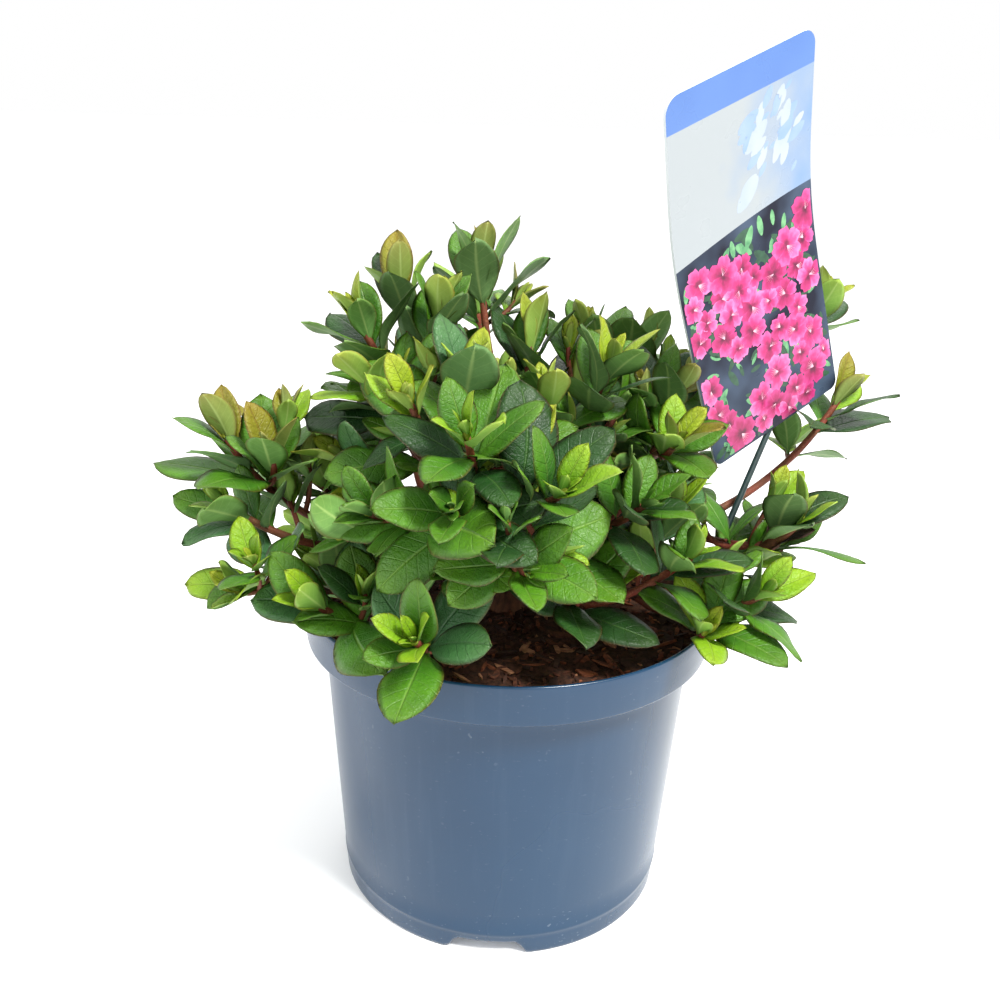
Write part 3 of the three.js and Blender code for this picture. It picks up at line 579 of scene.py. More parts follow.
def make_chips():
    """Flat five-cornered chips, each laid on the compost at a tilt of its own."""
    tones = [(rgb(140, 80, 52), rgb(92, 50, 32)), (rgb(102, 60, 42), rgb(64, 36, 26)),
             (rgb(72, 46, 36), rgb(42, 27, 22)), (rgb(182, 130, 98), rgb(132, 84, 58))]
    materials = [chip_material(f"chip_{i}", *tone) for i, tone in enumerate(tones)]
    shape = Shape("bark_chips", "compost", materials)
    faces = [(4, 3, 2, 1, 0), (5, 6, 7, 8, 9)] + ring_faces(2, 5)
    random = seeded(CHIP_SEED)
    outer = RIM_RADIUS - BAND_TAPER - WALL - 2
    for _ in range(CHIPS):
        reach, azimuth = outer * sqrt(next(random)), FULL_TURN * next(random)
        length = lerp(*CHIP_LENGTH, next(random) ** 2)
        reach = min(reach, outer - length / 2)
        width, height = length * lerp(*CHIP_SLIMNESS, next(random)), lerp(*CHIP_THICKNESS, next(random))
        x, y = reach * cos(azimuth), reach * sin(azimuth)
        spin = Matrix.Rotation(FULL_TURN * next(random), 3, "Z")
        tip = Matrix.Rotation(lerp(-0.45, 0.45, next(random)), 3, "X") @ Matrix.Rotation(
            lerp(-0.35, 0.35, next(random)), 3, "Y")
        centre = Vector((x, y, soil_top(x, y) + 0.25 * height))
        corners = []
        for z in (-0.5, 0.5):
            for angle in turns(5):
                out = 0.5 * lerp(0.7, 1.1, next(random))
                corner = Vector((length * out * cos(angle), width * out * sin(angle), height * z))
                corners.append(centre + spin @ (tip @ corner))
        pick = next(random)
        shape.add(corners, faces, sum(pick >= share for share in CHIP_SHARES))
    shape.finish(smooth=False)


# The limbs


def trunk_axis(above):
    return Vector((TRUNK_LEAN * sin(above / TRUNK_HEIGHT), 0, SOIL_HEIGHT + GAP + above))


def trunk_radius(above):
    if above < WAIST_HEIGHT:
        return WAIST_RADIUS + (FLARE_RADIUS - WAIST_RADIUS) * (1 - above / WAIST_HEIGHT) ** 2
    return lerp(WAIST_RADIUS, TRUNK_TIP_RADIUS, (above - WAIST_HEIGHT) / (TRUNK_HEIGHT - WAIST_HEIGHT))


class Spray:
    def __init__(self, values):
        self.name, self.azimuth, self.reach, self.height, self.lift, self.count, self.tone = values
        self.site = polar(self.azimuth, self.reach, self.height)
        self.farthest = max(self.reach + SHOOT_BEYOND, SHOOT_INNER)
        self.direction = heading(self.azimuth, self.lift)


def bough_curve(fork, sprays):
    target = sum((spray.site for spray in sprays), Vector()) / len(sprays)
    axis = trunk_axis(fork)
    outward = Vector((target.x - axis.x, target.y - axis.y, 0)).normalized()
    leaving = Vector((outward.x, outward.y, BOUGH_RISE)).normalized()
    start = axis + outward * (trunk_radius(fork) + GAP + BOUGH_ROOT_RADIUS * leaving.z)
    end = start.lerp(target, BOUGH_SHARE)
    end.z -= BOUGH_SAG
    return [start, start + leaving * (end - start).length * 0.45, end]


def stem_curve(spray, twin, bough):
    way = (bough[2] - bough[1]).normalized()
    apart = square_to(spray.site - twin.site, way)
    start = bough[2] + way * (GAP + STEM_RADIUS * 0.35) + apart * STEM_APART
    length = (spray.site - start).length
    return [start, start + way * length * 0.22 + apart * length * 0.08,
            spray.site - spray.direction * length * STEM_BEND, spray.site]


def hides_label(point):
    """Whether a point lies just in front of the label's printed side, which stays in view."""
    off = point - LABEL_FOOT
    return (abs(off.dot(LABEL_ACROSS)) < LABEL_WIDTH / 2 - CLEAR_INSET and off.dot(LABEL_UP) > CLEAR_FROM
            and 0 < off.dot(LABEL_OUT) < CLEAR_BEFORE_LABEL)


def hides_rod(point):
    """Whether a point stands before the upper part of the rod, on the side that it is seen from."""
    off = point - ROD_BASE
    if abs(off.dot(ROD_WAY.cross(ROD_AHEAD).normalized())) > CLEAR_BESIDE_ROD:
        return False
    lean = ROD_WAY.dot(ROD_AHEAD)
    before = (off.dot(ROD_AHEAD) - lean * off.dot(ROD_WAY)) / (1 - lean * lean)
    rise = off.dot(ROD_WAY) - before * lean
    return 0 < before < CLEAR_BEFORE_ROD and ROD_HIDDEN_SHARE * ROD_LENGTH < rise < ROD_LENGTH


def has_room(site, taken, room=SHOOT_ROOM):
    if hides_label(site) or hides_rod(site) or any((other - site).length < room for other in taken):
        return False
    over_pot = hypot(site.x, site.y) < RIM_RADIUS + ROOM_PAST_RIM
    if site.z < POT_HEIGHT + (ROOM_OVER_RIM if over_pot else LEAST_RISE):
        return False
    off, room = site - LABEL_FOOT, ROOM_BY_LABEL
    beside = abs(off.dot(LABEL_ACROSS)) < LABEL_WIDTH / 2 + room and off.dot(LABEL_UP) > -room
    return not (beside and abs(off.dot(LABEL_OUT)) < room)


def shoots_of(spray, seed, stem, taken):
    """The leading shoot, then others round it by the golden angle: site, direction and curve."""
    random = seeded(seed)
    e1, e2 = sides_of(spray.direction)
    shoots = [(spray.site, spray.direction, stem)]
    turn = next(random) * FULL_TURN
    for k in range(1, spray.count):
        for _ in range(SHOOT_TRIES):
            turn += GOLDEN_ANGLE
            spread = SHOOT_SPREAD * (0.8 + 0.4 * next(random))
            drop = lerp(*SHOOT_DROP, next(random))
            side = turned(e1, e2, turn)
            end = spray.site + side * spread - spray.direction * drop
            if hypot(end.x, end.y) > spray.farthest or not has_room(end, taken):
                continue
            taken.append(end)
            way = (spray.direction * 0.75 + side * 0.55 + UP * 0.3).normalized()
            start = bezier(stem, lerp(TWIG_FIRST, TWIG_LAST, k / spray.count))
            shoots.append((end, way, [start, end - way * (start - end).length * TWIG_BEND, end]))
            break
    return shoots


def finer_shoots(spray, shoot, seed, taken):
    """Small shoots that leave another part of the way up, within its reach."""
    random = seeded(seed)
    curve = shoot[2]
    made, turn = [], next(random) * FULL_TURN
    for k in range(FINER_SHOOTS):
        for _ in range(FINER_TRIES):
            turn += GOLDEN_ANGLE
            t = lerp(*FINER_SPAN, (k + next(random)) / FINER_SHOOTS)
            start = bezier(curve, t)
            way = (bezier(curve, t + 0.05) - start).normalized()
            e1, e2 = sides_of(way)
            side = turned(e1, e2, turn)
            leaving = (way * 0.45 + side + UP * 0.35).normalized()
            end = start + leaving * lerp(*FINER_LENGTH, next(random))
            outside = end.z < POT_HEIGHT + FINER_RISE or hypot(end.x, end.y) > spray.farthest
            if outside or not has_room(end, taken, FINER_ROOM):
                continue
            taken.append(end)
            facing = (leaving + UP * 0.35 + way * 0.3).normalized()
            made.append((end, facing, [start, end - facing * (end - start).length * 0.5, end]))
            break
    return made


def back_along(points, distance):
    for b, a in zip(points[::-1], points[-2::-1]):
        length = (b - a).length
        if distance <= length:
            return b.lerp(a, distance / length)
        distance -= length
    return points[0].copy()


class Leaf:
    def __init__(self, root, along, normal, length, width, age):
        self.root, self.along, self.normal = root, along, normal
        self.length, self.width, self.age = length, width, age


def leaf_at(root, shoot_way, side, opening, length, width, age):
    along = turned(shoot_way, side, opening)
    along.z = (along.z * LEAF_HANG if along.z < 0 else along.z) + LEAF_LIFT
    along.normalize()
    normal = square_to(shoot_way + UP * FACING_UP, along)
    return Leaf(root, along, normal, length, width, age)


def leaves_of(shoot, seed, scale=1.0):
    """A shoot's leaves from the oldest to the youngest, and the small ones round its bud."""
    site, way, curve = shoot
    random = seeded(seed)
    e1, e2 = sides_of(way)
    points = curve_points(curve, 12)
    closing = 1 - UPRIGHT_CLOSING * max(way.z, 0) ** 6
    first = FIRST_ON_STEEP if way.z > STEEP else 0
    leaves = []
    turn = next(random) * FULL_TURN
    for j in range(SHOOT_LEAVES):
        age = 1 - j / (SHOOT_LEAVES - 1)
        turn += GOLDEN_ANGLE
        opening = radians(lerp(YOUNG_OPEN, OLD_OPEN, age) * closing + OPEN_JITTER * (next(random) - 0.5))
        size = 1 + SIZE_JITTER * (next(random) - 0.5)
        length = lerp(YOUNG_LENGTH, OLD_LENGTH, age ** 0.7) * size * scale
        width = length * lerp(YOUNG_WIDTH, OLD_WIDTH, age)
        root = back_along(points, lerp(LAST_BACK, FIRST_BACK, age) * scale)
        if j >= first:
            leaves.append(leaf_at(root, way, turned(e1, e2, turn), opening, length, width, age))
    for _ in range(TIP_LEAVES):
        turn += GOLDEN_ANGLE
        length = TIP_LENGTH * scale * lerp(*TIP_SIZE, next(random))
        opening = radians(lerp(*TIP_OPEN, next(random)))
        side = turned(e1, e2, turn)
        leaves.append(leaf_at(site - way, way, side, opening, length, length * TIP_WIDTH, TIP_AGE))
    return leaves


# The leaves' own shape


def blade_half_width(v):
    """Half the width of a blade at a share of its length: a stalk, a wedge, then a blunt tip."""
    stalk = 0.07
    if v <= stalk:
        return 0.05
    t = (v - stalk) / (1 - stalk)
    return max(0.04 * (1 - t), 0.5 * 3.1 * t ** 0.88 * (1 - t) ** 0.76)


class Crown:
    """All the leaves, checked against one another and then made into a few joined pieces."""

    MOST_FACES = 90000
    CELL = 24
    # How far a leaf is turned towards its shoot's tip, and the share of its size, in each try
    TRIES = ((0, 1), (0.3, 1), (-0.3, 1), (0.6, 0.92), (-0.5, 0.9), (0.2, 0.75), (1, 0.8))

    def __init__(self):
        self.cells = {}
        self.fixed = []
        self.leaves = []

    def block(self, vertices, faces):
        self.fixed.append(BVHTree.FromPolygons(vertices, faces))

    @staticmethod
    def coarse(leaf):
        """A few faces for testing, from a quarter of the leaf's length on."""
        across = leaf.along.cross(leaf.normal)
        rows = []
        for v in (0.28, 0.6, 0.9):
            half = blade_half_width(v) * leaf.width
            middle = leaf.root + leaf.along * v * leaf.length - leaf.normal * leaf.length * 0.14 * v * v
            rows += [middle - across * half, middle, middle + across * half]
        faces = [(0, 1, 4, 3), (1, 2, 5, 4), (3, 4, 7, 6), (4, 5, 8, 7)]
        return rows, BVHTree.FromPolygons(rows, faces)

    def cells_of(self, rows):
        return {tuple(int(c // self.CELL) for c in row) for row in rows}

    def clashes(self, rows, tree):
        if any(hides_label(row) or hides_rod(row) for row in rows[3:]):
            return True
        near = {number: other for cell in self.cells_of(rows) for number, other in self.cells.get(cell, ())}
        return any(tree.overlap(other) for other in [*self.fixed, *near.values()])

    def try_leaf(self, leaf, way, tone):
        """Places a leaf, turned or shortened where it would cross another, or leaves it out."""
        for towards_tip, share in self.TRIES:
            along = (leaf.along + way * towards_tip).normalized()
            tried = Leaf(leaf.root, along, square_to(leaf.normal, along), leaf.length * share,
                         leaf.width * share, leaf.age)
            rows, tree = self.coarse(tried)
            if not self.clashes(rows, tree):
                number = len(self.leaves)
                self.leaves.append((tried, tone))
                for cell in self.cells_of(rows):
                    self.cells.setdefault(cell, []).append((number, tree))
                return

    def make(self, materials):
        tones = list(materials)
        slots = [side for tone in tones for side in materials[tone]]
        shapes = []
        for number, (leaf, tone) in enumerate(self.leaves):
            if not shapes or len(shapes[-1].faces) > self.MOST_FACES:
                shapes.append(Shape(f"leaves_{len(shapes) + 1}", "foliage", slots))
            add_blade(shapes[-1], leaf, 2 * tones.index(tone), number)
        for shape in shapes:
            shape.finish()


def add_blade(shape, leaf, material, number):
    """A thin closed shell with its edge shared by both sides, folded, recurved and a little wavy."""
    random = seeded(BLADE_SEED + number)
    fold = lerp(0.10, 0.30, next(random)) + (0.25 if leaf.age < 0.3 else 0)
    recurve = lerp(0.25, 0.75, next(random)) * (1 if leaf.age > 0.25 else 0.35)
    twist = lerp(-0.28, 0.28, next(random))
    wave, wave_start = lerp(0.01, 0.035, next(random)), FULL_TURN * next(random)
    swerve = lerp(-0.10, 0.10, next(random))
    across0 = leaf.along.cross(leaf.normal)
    point, vertices, uvs = leaf.root.copy(), [], []
    top, bottom = [], []
    small = leaf.length < SMALL_LEAF
    rows, columns = LEAF_ROWS[small], LEAF_COLUMNS[small]
    for i in range(rows + 1):
        v = (i / rows) ** 0.92
        bend = recurve * (v - 0.35)
        along = turned(leaf.along, -leaf.normal, bend)
        if i:
            point = point + along * leaf.length * (v - previous)
        previous = v
        normal = turned(leaf.normal, leaf.along, bend)
        across = turned(across0, normal, twist * v)
        normal = turned(normal, -across0, twist * v)
        half = blade_half_width(v) * leaf.width
        row_top, row_bottom = [], []
        for k in range(columns + 1):
            u = 2 * k / columns - 1
            rise = abs(u) * half * fold - u * u * half * 0.16
            rise += leaf.length * wave * u * u * sin(wave_start + 9 * v + (0 if u > 0 else 2))
            side = u * half + swerve * leaf.width * sin(pi * v)
            middle = point + across * side + normal * rise
            edge = k in (0, columns) or i in (0, rows)
            uv = (0.5 + u / 2, v)
            row_top.append(len(vertices))
            if edge:
                vertices.append(middle)
                uvs.append(uv)
                row_bottom.append(row_top[-1])
            else:
                depth = LEAF_THICKNESS / 2 * (1 - u * u) + (0.35 * (1 - v) if k == columns // 2 else 0)
                vertices.append(middle + normal * LEAF_THICKNESS / 2 * (1 - u * u))
                vertices.append(middle - normal * depth)
                uvs += [uv, uv]
                row_bottom.append(row_top[-1] + 1)
        top.append(row_top)
        bottom.append(row_bottom)
    faces, indices = [], []
    for i in range(rows):
        for k in range(columns):
            faces.append((top[i][k], top[i][k + 1], top[i + 1][k + 1], top[i + 1][k]))
            faces.append((bottom[i][k], bottom[i + 1][k], bottom[i + 1][k + 1], bottom[i][k + 1]))
            indices += [material, material + 1]
    shape.add(vertices, faces, indices, uvs)


def add_bud(shape, site, way, size, material):
    """A pointed bud of overlapping scales, as a tapering body with ridges."""
    points = [site + way * size * t for t in (-0.1, 0.1, 0.3, 0.5, 0.7, 0.86, 1.0)]
    tube(shape, points, lambda t: size * 0.27 * sin(pi * min(t * 0.86 + 0.12, 1)) ** 0.8 + 0.03, 8,
         material, lambda spot, t: 0.08 * size * sin(t * 16) * 0.3)


def bark_relief(spot, t):
    return 0.32 * noise.noise(Vector((spot.x, spot.y, spot.z * 0.35)) * 0.9) + 0.18 * noise.noise(spot * 2.2)


def twig_relief(height):
    return lambda spot, t: height * noise.noise(spot * 1.4)


def add_hairs(shape, points, radius, random, count):
    """Short stiff hairs that lie forward along a young twig."""
    for _ in range(count):
        t = next(random) * (len(points) - 1)
        i = min(int(t), len(points) - 2)
        spot = points[i].lerp(points[i + 1], t - i)
        way = (points[i + 1] - points[i]).normalized()
        e1, e2 = sides_of(way)
        out = turned(e1, e2, FULL_TURN * next(random))
        foot = spot + out * radius * 0.9
        tip = foot + (way * 0.8 + out * 0.7) * lerp(*HAIR_LENGTH, next(random))
        wide = way.cross(out) * 0.07
        corners = [foot - wide, foot + wide, foot + way * 0.12, tip]
        shape.add(corners, [(0, 1, 3), (1, 2, 3), (2, 0, 3), (0, 2, 1)])


# The label

LABEL_SPIN = (Matrix.Rotation(radians(LABEL_TURN), 3, "Z")
              @ Matrix.Rotation(-radians(LABEL_ROLL), 3, "Y"))
LABEL_ACROSS, LABEL_UP, LABEL_OUT = (LABEL_SPIN @ Vector(way) for way in ((1, 0, 0), (0, 0, 1), (0, -1, 0)))
ROD_TOP = LABEL_FOOT + LABEL_UP * TAB_HEIGHT + LABEL_ACROSS * ROD_ASIDE - LABEL_OUT * ROD_BEHIND
ROD_BASE = Vector((ROD_FOOT[0], ROD_FOOT[1], SOIL_HEIGHT + GAP + 0.2))
ROD_WAY, ROD_LENGTH = (ROD_TOP - ROD_BASE).normalized(), (ROD_TOP - ROD_BASE).length
ROD_AHEAD = heading(*ROD_SEEN_FROM)
PICTURE_TOP, PICTURE_RISE, HEADER_FOOT, PRINT_MARGIN = 87, 7, 140, 1
PICTURE, PALE, HEADER, BACK = range(4)
FIELD_LEAVES, PICTURE_LEAVES, FLOWER_TRIES, FLOWER_SIZE, FLOWER_ROOM = 40, 150, 1400, (5.2, 8.6), 0.62


def label_frame(v):
    """A point up the middle of the card, and the way its printed side faces there."""
    steps = 24
    place, way = LABEL_FOOT.copy(), LABEL_UP
    for i in range(steps):
        angle = radians(LABEL_CURL) * smoothstep(CURL_FROM, CURL_TO, v * (i + 0.5) / steps)
        way = turned(LABEL_UP, LABEL_OUT, angle)
        place = place + way * (v / steps)
    return place, LABEL_ACROSS.cross(way).normalized()


def label_half_width(v):
    corner = LABEL_CORNER * (0.6 if v < LABEL_HEIGHT / 2 else 1)
    dip = corner - min(v, LABEL_HEIGHT - v)
    if dip <= 0:
        return LABEL_WIDTH / 2
    return LABEL_WIDTH / 2 - corner + sqrt(max(corner * corner - dip * dip, 0))


def on_label(u, v, lift):
    """A point on the card: u in millimetres from its middle line, v from its foot, lift off its middle."""
    place, out = label_frame(min(max(v, 0), LABEL_HEIGHT))
    return place + LABEL_ACROSS * u + out * lift


def on_print(u, v, lift):
    """A point just off the card's printed side, kept inside its edges."""
    limit = LABEL_WIDTH / 2 - PRINT_MARGIN
    return on_label(min(max(u, -limit), limit), max(v, PRINT_MARGIN), LABEL_THICKNESS / 2 + lift)


def picture_edge(share):
    """The height of the picture's upper edge, which rises from the left to the right in a shallow bow."""
    return PICTURE_TOP + PICTURE_RISE * sin(share * pi / 2)


def make_card():
    print_blue = card_material("label_blue", rgb(78, 112, 172), rgb(70, 104, 164))
    pale = pale_material()
    picture = card_material("label_picture", rgb(18, 20, 36), rgb(64, 78, 98), 48, 0.2)
    back = card_material("label_back", rgb(206, 210, 214), rgb(194, 200, 206))
    shape = Shape("label_sheet", "card", [picture, pale, print_blue, back])
    columns = 24
    bands = [(lambda s: 0.0, picture_edge, 22, PICTURE), (picture_edge, lambda s: HEADER_FOOT, 12, PALE),
             (lambda s: HEADER_FOOT, lambda s: LABEL_HEIGHT, 12, HEADER)]
    half = LABEL_THICKNESS / 2
    for low, high, rows, material in bands:
        vertices, back_vertices, uvs = [], [], []
        for i in range(rows + 1):
            t = i / rows
            if material == HEADER:
                t = sin(t * pi / 2)
            elif material == PICTURE:
                t = 1 - cos(t * pi / 2)
            for k in range(columns + 1):
                share = k / columns
                v = lerp(low(share), high(share), t)
                u = (2 * share - 1) * label_half_width(v)
                vertices.append(on_label(u, v, half))
                back_vertices.append(on_label(u, v, -half))
                uvs.append((share, v / LABEL_HEIGHT))
        faces = ring_faces(rows + 1, columns + 1, closed=False)
        shape.add(vertices, faces, material, uvs)
        shape.add(back_vertices, [face[::-1] for face in faces], BACK)
    outline = [(label_half_width(v), v) for v in
               [LABEL_HEIGHT * (1 - cos(pi * i / 80)) / 2 for i in range(81)]]
    outline += [(-u, v) for u, v in reversed(outline)]
    edge = [on_label(u, v, side * half) for u, v in outline for side in (1, -1)]
    count = len(outline)
    pairs = [(2 * i, 2 * ((i + 1) % count)) for i in range(count)]
    shape.add(edge, [(a, a + 1, b + 1, b) for a, b in pairs], BACK)
    piece = shape.finish()
    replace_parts(piece, "label_card")


def add_petals(shape, u, v, size, turn, material, random):
    """A flat five-petalled flower printed on the card, with a darker throat and pale stamens."""
    lift = 0.06 + 0.12 * next(random)

    def spot(angle, reach, rise):
        return on_print(u + reach * cos(angle), v + reach * sin(angle), lift + rise)
    for petal, part in enumerate(turns(5)):
        angle = turn + part
        points, uvs = [spot(angle, 0, 0)], [(0.5, 0)]
        for k in range(9):
            t = k / 8
            swing = angle + (t - 0.5) * 1.45
            reach = size * (0.6 + 0.4 * sin(pi * t) ** 0.5 + 0.07 * sin(t * 19 + petal))
            points.append(spot(swing, reach, 0.008 * petal))
            uvs.append((t, 1))
        shade = material if next(random) < 0.6 else (material + 1) % 3
        shape.add(points, [(0, k, k + 1) for k in range(1, 9)], shade, uvs)
    for k in range(6):
        angle = turn + 0.5 + 0.22 * k
        foot, tip = spot(angle, 0, 0.06), spot(angle, size * 0.6, 0.07)
        wide = LABEL_ACROSS * 0.12 + LABEL_UP * 0.12
        shape.add([foot - wide, foot + wide, tip], [(0, 1, 2)], 3)


def add_printed_leaf(shape, u, v, size, angle, slimness, lift, material):
    """A small pointed leaf printed on the card."""
    points = []
    for t in turns(12):
        du, dv = size * cos(t), size * slimness * sin(t) * abs(sin(t)) ** 0.3
        points.append(on_print(u + du * cos(angle) - dv * sin(angle),
                               v + du * sin(angle) + dv * cos(angle), lift))
    shape.add(points, [tuple(range(12))], material)


def make_print():
    """The card's print: faint leaves on its pale field, and pink flowers over small leaves in its picture."""
    pinks = [petal_material("print_pink", rgb(108, 10, 58), rgb(180, 32, 102), rgb(198, 82, 144)),
             petal_material("print_rose", rgb(128, 18, 70), rgb(190, 58, 122), rgb(204, 112, 166)),
             petal_material("print_magenta", rgb(84, 6, 46), rgb(150, 18, 82), rgb(180, 50, 118)),
             card_material("print_stamen", rgb(226, 178, 194), rgb(216, 150, 176), 300)]
    greens = [card_material("print_leaf", rgb(104, 158, 110), rgb(62, 120, 80), 300),
              card_material("print_leaf_dark", rgb(36, 76, 52), rgb(22, 54, 38), 300)]
    mists = [card_material("print_haze", rgb(132, 152, 184), rgb(116, 142, 182), 80),
             card_material("print_mist", rgb(160, 168, 176), rgb(148, 160, 176), 80)]
    haze = Shape("label_print_field", "card", mists)
    random = seeded(FIELD_SEED)
    for _ in range(FIELD_LEAVES):
        u, v = lerp(2, 33, next(random)), lerp(PICTURE_TOP + 12, HEADER_FOOT - 3, next(random))
        angle, size = radians(lerp(20, 75, next(random))), lerp(2, 8, next(random) ** 2)
        if v < picture_edge(u / LABEL_WIDTH + 0.5) + size or v > HEADER_FOOT - size or u > 35 - size:
            continue
        add_printed_leaf(haze, u, v, size, angle, 0.45, 0.03, 0 if next(random) < 0.6 else 1)
    haze.finish()
    random = seeded(PICTURE_SEED)
    leaves = Shape("label_print_leaves", "card", greens)
    for _ in range(PICTURE_LEAVES):
        u, v = lerp(-34, 34, next(random)), lerp(3, 88, next(random))
        if v > picture_edge(u / LABEL_WIDTH + 0.5) - 4:
            continue
        angle, size = FULL_TURN * next(random), lerp(2.5, 5.5, next(random))
        add_printed_leaf(leaves, u, v, size, angle, 0.36, 0.04, 0 if next(random) < 0.45 else 1)
    leaves.finish()
    flowers = Shape("label_print_flowers", "card", pinks)
    placed = []
    for _ in range(FLOWER_TRIES):
        u, v = lerp(-33, 33, next(random)), lerp(5, 90, next(random))
        size = lerp(*FLOWER_SIZE, next(random))
        if v > picture_edge(u / LABEL_WIDTH + 0.5) - size - 1:
            continue
        if any(hypot(u - a, v - b) < FLOWER_ROOM * (size + c) for a, b, c in placed):
            continue
        if noise.noise(Vector((u * 0.04, v * 0.04, 3.1))) < -0.16:
            continue
        placed.append((u, v, size))
        add_petals(flowers, u, v, size, FULL_TURN * next(random), int(3 * next(random)), random)
    flowers.finish()


def make_rod():
    shape = Shape("label_stalk", "rod", [rod_material()])
    foot = ROD_BASE - ROD_WAY * 5
    points = [foot.lerp(ROD_TOP, i / 24) for i in range(25)]
    tube(shape, points, lambda t: ROD_RADIUS * lerp(1, 0.85, t), 16)
    half_width, half_depth, height = 4.5, ROD_RADIUS * 0.5, TAB_HEIGHT
    ahead = ROD_BEHIND - LABEL_THICKNESS / 2 - 2 * GAP - ROD_RADIUS * 0.55
    base = ROD_TOP - LABEL_UP * height * 0.9 + LABEL_OUT * ahead

    def squarish(half, value):
        return half * copysign(abs(value) ** 0.35, value)
    sides, bevel = 24, 0.4
    ring = [(squarish(half_width, cos(a)), squarish(half_depth, sin(a))) for a in turns(sides)]
    vertices = []
    for rise, share in ((0, 0.8), (bevel, 1), (height - bevel, 1), (height, 0.8)):
        middle = base + LABEL_UP * rise
        vertices += [middle + LABEL_ACROSS * a * share + LABEL_OUT * b * share for a, b in ring]
    ends = [tuple(range(sides - 1, -1, -1)), tuple(range(3 * sides, 4 * sides))]
    shape.add(vertices, ring_faces(4, sides) + ends)
    piece = shape.finish()
    piece.data.set_sharp_from_angle(angle=radians(40))
    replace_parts(piece, "label_rod")


# Growing the shrub


def mature_tone(random):
    pick = next(random)
    # Some old leaves take the bluish tone that is partly painted sheen.
    return "deep" if pick < 0.42 else "mid" if pick < 0.80 else "grey"


def grow_limbs():
    """The trunk and boughs, and the sprays, each with its stem's curve and where that joins its bough."""
    bark = Shape("woody_limbs", "bark", [
        bark_material("trunk_bark", rgb(128, 84, 60), rgb(74, 46, 36), rgb(52, 34, 30), 260)])
    sunk = 3
    axis = [trunk_axis(TRUNK_HEIGHT * i / 20 - sunk) for i in range(21)]
    tube(bark, axis, lambda t: trunk_radius(max(TRUNK_HEIGHT * t - sunk, 0)), 20, 0, bark_relief)
    sprays = []
    for name, fork, pair in BOUGHS:
        pair = [Spray(values) for values in pair]
        curve = bough_curve(fork, pair)
        aside = curve[0] - trunk_axis(fork)
        aside.z = 0
        points = [curve[0] - aside * 0.8] + curve_points(curve, 14)
        tube(bark, points, lambda t: lerp(BOUGH_ROOT_RADIUS, BOUGH_TIP_RADIUS, t), 12, 0,
             lambda spot, t: 0.4 * bark_relief(spot, t))
        for spray, twin in zip(pair, pair[::-1]):
            spray.stem, spray.joint = stem_curve(spray, twin, curve), bezier(curve, JOINT_SHARE)
        sprays += pair
    return bark, sprays


def guarded_crown():
    """A crown with no leaves yet, which keeps them out of the card, the compost and the pot."""
    crown = Crown()
    card = [on_label(u, v, 0) for v in (-2, 40, 80, 110, 153) for u in (-38, 38)]
    crown.block(card, [(0, 1, 3, 2), (2, 3, 5, 4), (4, 5, 7, 6), (6, 7, 9, 8)])
    circles = [(RIM_RADIUS - 3, SOIL_HEIGHT - 2), (RIM_RADIUS + 0.5, POT_HEIGHT + 0.5), (FOOT_RADIUS, 0)]
    sides = 24
    pot = [polar(360 // sides * k, *circle) for circle in circles for k in range(sides)]
    crown.block(pot[:sides], [tuple(range(sides))])
    crown.block(pot, ring_faces(len(circles), sides))
    return crown


def leaf_shade(leaf, number, j, job):
    """The tone of a shoot's leaf j, by its age and by its spray's and its shoot's own tones."""
    spray, shoot, _, tone, pick = job
    if leaf.age < 0.2 and spray.name == DRY_BUD and (shoot[0] - spray.site).length < 1:
        return "dry"
    if leaf.age < 0.34:
        return spray.tone if leaf.age > 0 or pick < 0.75 else "yellow"
    if leaf.age < 0.55:
        return "fresh" if pick > 0.65 else "mid"
    return tone if (number + j) % 3 else "mid"


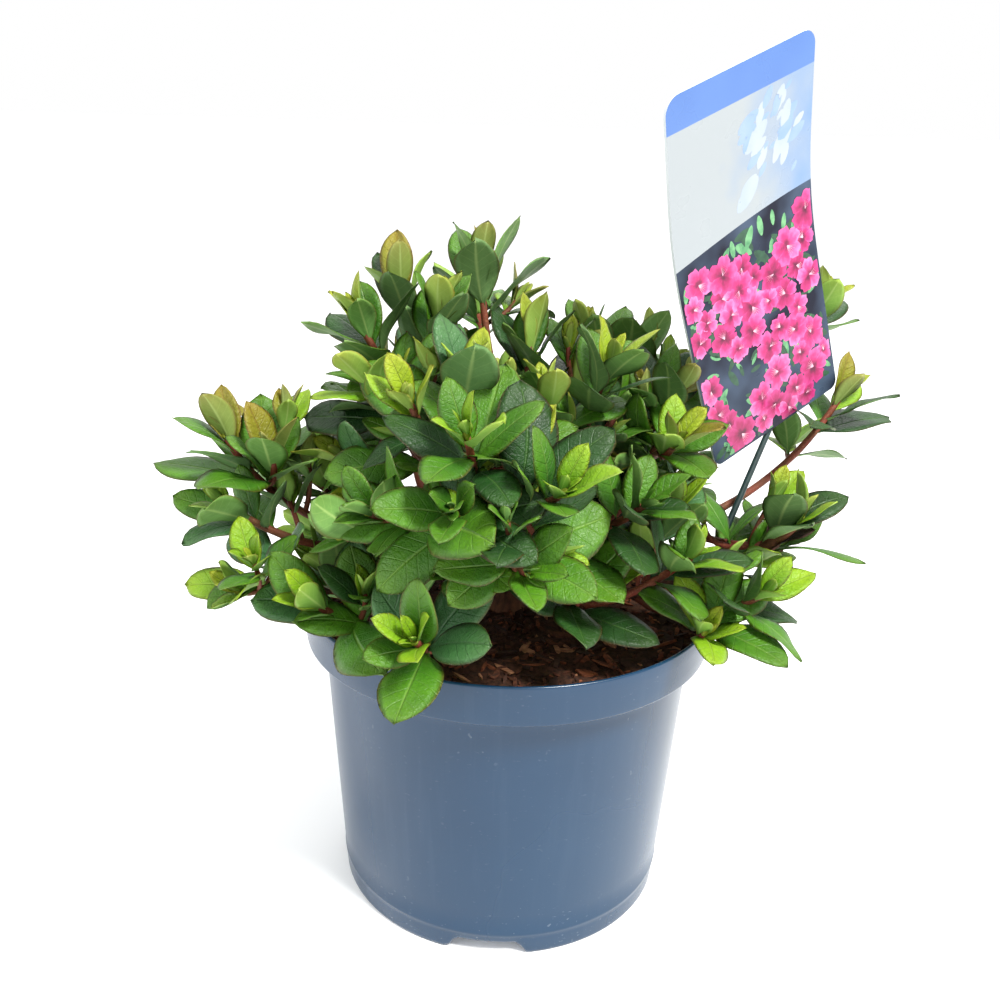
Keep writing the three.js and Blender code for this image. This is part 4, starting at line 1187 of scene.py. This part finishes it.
def grow():
    """The whole shrub. A job is a shoot with its spray, its leaves, the tone of its old ones and a draw."""
    bark, sprays = grow_limbs()
    twigs = Shape("twigs", "bark", [twig_material()])
    hairs = Shape("twig_hairs", "bark", twigs.materials)
    buds = Shape("buds", "foliage", [
        chip_material("bud_green", rgb(170, 178, 70), rgb(134, 140, 48)),
        chip_material("bud_brown", rgb(96, 58, 36), rgb(58, 34, 24))])
    taken = [spray.site for spray in sprays]
    jobs = []
    for index, spray in enumerate(sprays):
        shoots = shoots_of(spray, index + 1, spray.stem, taken)
        random = seeded(SPRAY_SEED + index)
        for k, shoot in enumerate(shoots):
            leaves = leaves_of(shoot, LEAF_SEED * (index + 1) + k)
            jobs.append((spray, shoot, leaves, mature_tone(random), next(random)))
            radii, steps = (SIDE_TWIG, SIDE_STEPS) if k else (LEADING_TWIG, LEADING_STEPS)
            points = ([] if k else [spray.joint]) + curve_points(shoot[2], steps)
            tube(twigs, points, lambda t: lerp(*radii, t), 8, 0, twig_relief(TWIG_RELIEF))
            add_hairs(hairs, points[-steps // 2 - 2:], HAIR_RING, random, HAIRS)
            dry = spray.name == DRY_BUD and k == 0
            size = DRY_BUD_SIZE if dry else lerp(*BUD_SIZE, next(random))
            add_bud(buds, shoot[0], shoot[1], size, int(dry))
    for number in range(len(jobs)):
        spray, shoot = jobs[number][:2]
        random = seeded(FINER_SPRAY_SEED + number)
        if shoot[1].z > STEEP:
            continue
        for k, finer in enumerate(finer_shoots(spray, shoot, FINER_SEED + number, taken)):
            points = curve_points(finer[2], FINER_STEPS)
            tube(twigs, points, lambda t: lerp(*FINER_TWIG, t), 7, 0, twig_relief(FINER_RELIEF))
            add_hairs(hairs, points[2:], FINER_HAIR_RING, random, FINER_HAIRS)
            add_bud(buds, finer[0], finer[1], lerp(*FINER_BUD_SIZE, next(random)), 0)
            scale = FINER_SCALE * lerp(*FINER_SIZE, next(random))
            leaves = leaves_of(finer, FINER_LEAF_SEED + 10 * number + k, scale)
            jobs.append((spray, finer, leaves[2:], mature_tone(random), next(random)))
    crown = guarded_crown()
    for j, number in sorted((j, number) for number, job in enumerate(jobs) for j in range(len(job[2]))):
        job = jobs[number]
        leaf = job[2][j]
        crown.try_leaf(leaf, job[1][1], leaf_shade(leaf, number, j, job))
    crown.make(leaf_materials())
    limbs = bark.finish()
    twig_piece = twigs.finish()
    hairs.finish(smooth=False)
    buds.finish()
    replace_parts(limbs, "trunk", *["bough_" + name for name, _, _ in BOUGHS])
    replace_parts(twig_piece, *["foliage_" + spray.name for spray in sprays])


# The stage


def make_stage():
    floor = bpy.data.meshes.new("floor")
    size = 40
    corners = [(x * size, y * size, 0) for x, y in ((-1, -1), (1, -1), (1, 1), (-1, 1))]
    floor.from_pydata(corners, [], [(0, 1, 2, 3)])
    n = Nodes("floor_paper")
    n.shader.inputs["Emission Color"].default_value = (1, 1, 1, 1)
    n.shader.inputs["Emission Strength"].default_value = 0.12
    floor.materials.append(n.surface(n.mix(n.noise(3, 2), rgb(246, 246, 247), rgb(250, 250, 250)), 0.9, 0.2))
    piece = add_object("floor", floor)


def add_light(name, place, target, size, power, colour):
    light = bpy.data.lights.new(name, "AREA")
    light.shape, light.size, light.energy, light.color = "DISK", size, power, colour
    lamp = add_object(name, light)
    lamp.location = place
    lamp.rotation_euler = (Vector(target) - Vector(place)).to_track_quat("-Z", "Y").to_euler()


def make_lights():
    middle = (0, 0, 0.17)
    add_light("key", (0.6, -0.65, 1.35), middle, 0.4, 37, (1, 0.99, 0.95))
    add_light("fill", (-1.1, -0.5, 0.6), middle, 0.8, 5, (0.96, 0.98, 1))
    add_light("back", (0.2, 1.1, 1.1), middle, 1.0, 5, (1, 1, 1))
    world = bpy.data.worlds.new("studio")
    world.use_nodes = True
    world.node_tree.nodes["Background"].inputs[0].default_value = (1, 1, 1, 1)
    world.node_tree.nodes["Background"].inputs[1].default_value = 1.0
    bpy.context.scene.world = world


def make_camera():
    camera = bpy.data.cameras.new("camera")
    camera.sensor_width, camera.lens = 36, LENS
    camera.clip_start, camera.clip_end = 0.01, 50
    view = add_object("camera", camera)
    up = RIGHT.cross(LOOK).normalized()
    turn = Matrix((RIGHT, up, -LOOK)).transposed().to_4x4()
    view.matrix_world = Matrix.Translation(EYE * MM) @ turn
    bpy.context.scene.camera = view


make_pot()
make_soil()
make_chips()
grow()
make_card()
make_print()
make_rod()
make_stage()
make_lights()
make_camera()
scene = bpy.context.scene
scene.view_settings.view_transform = "Standard"
scene.view_settings.look = "None"
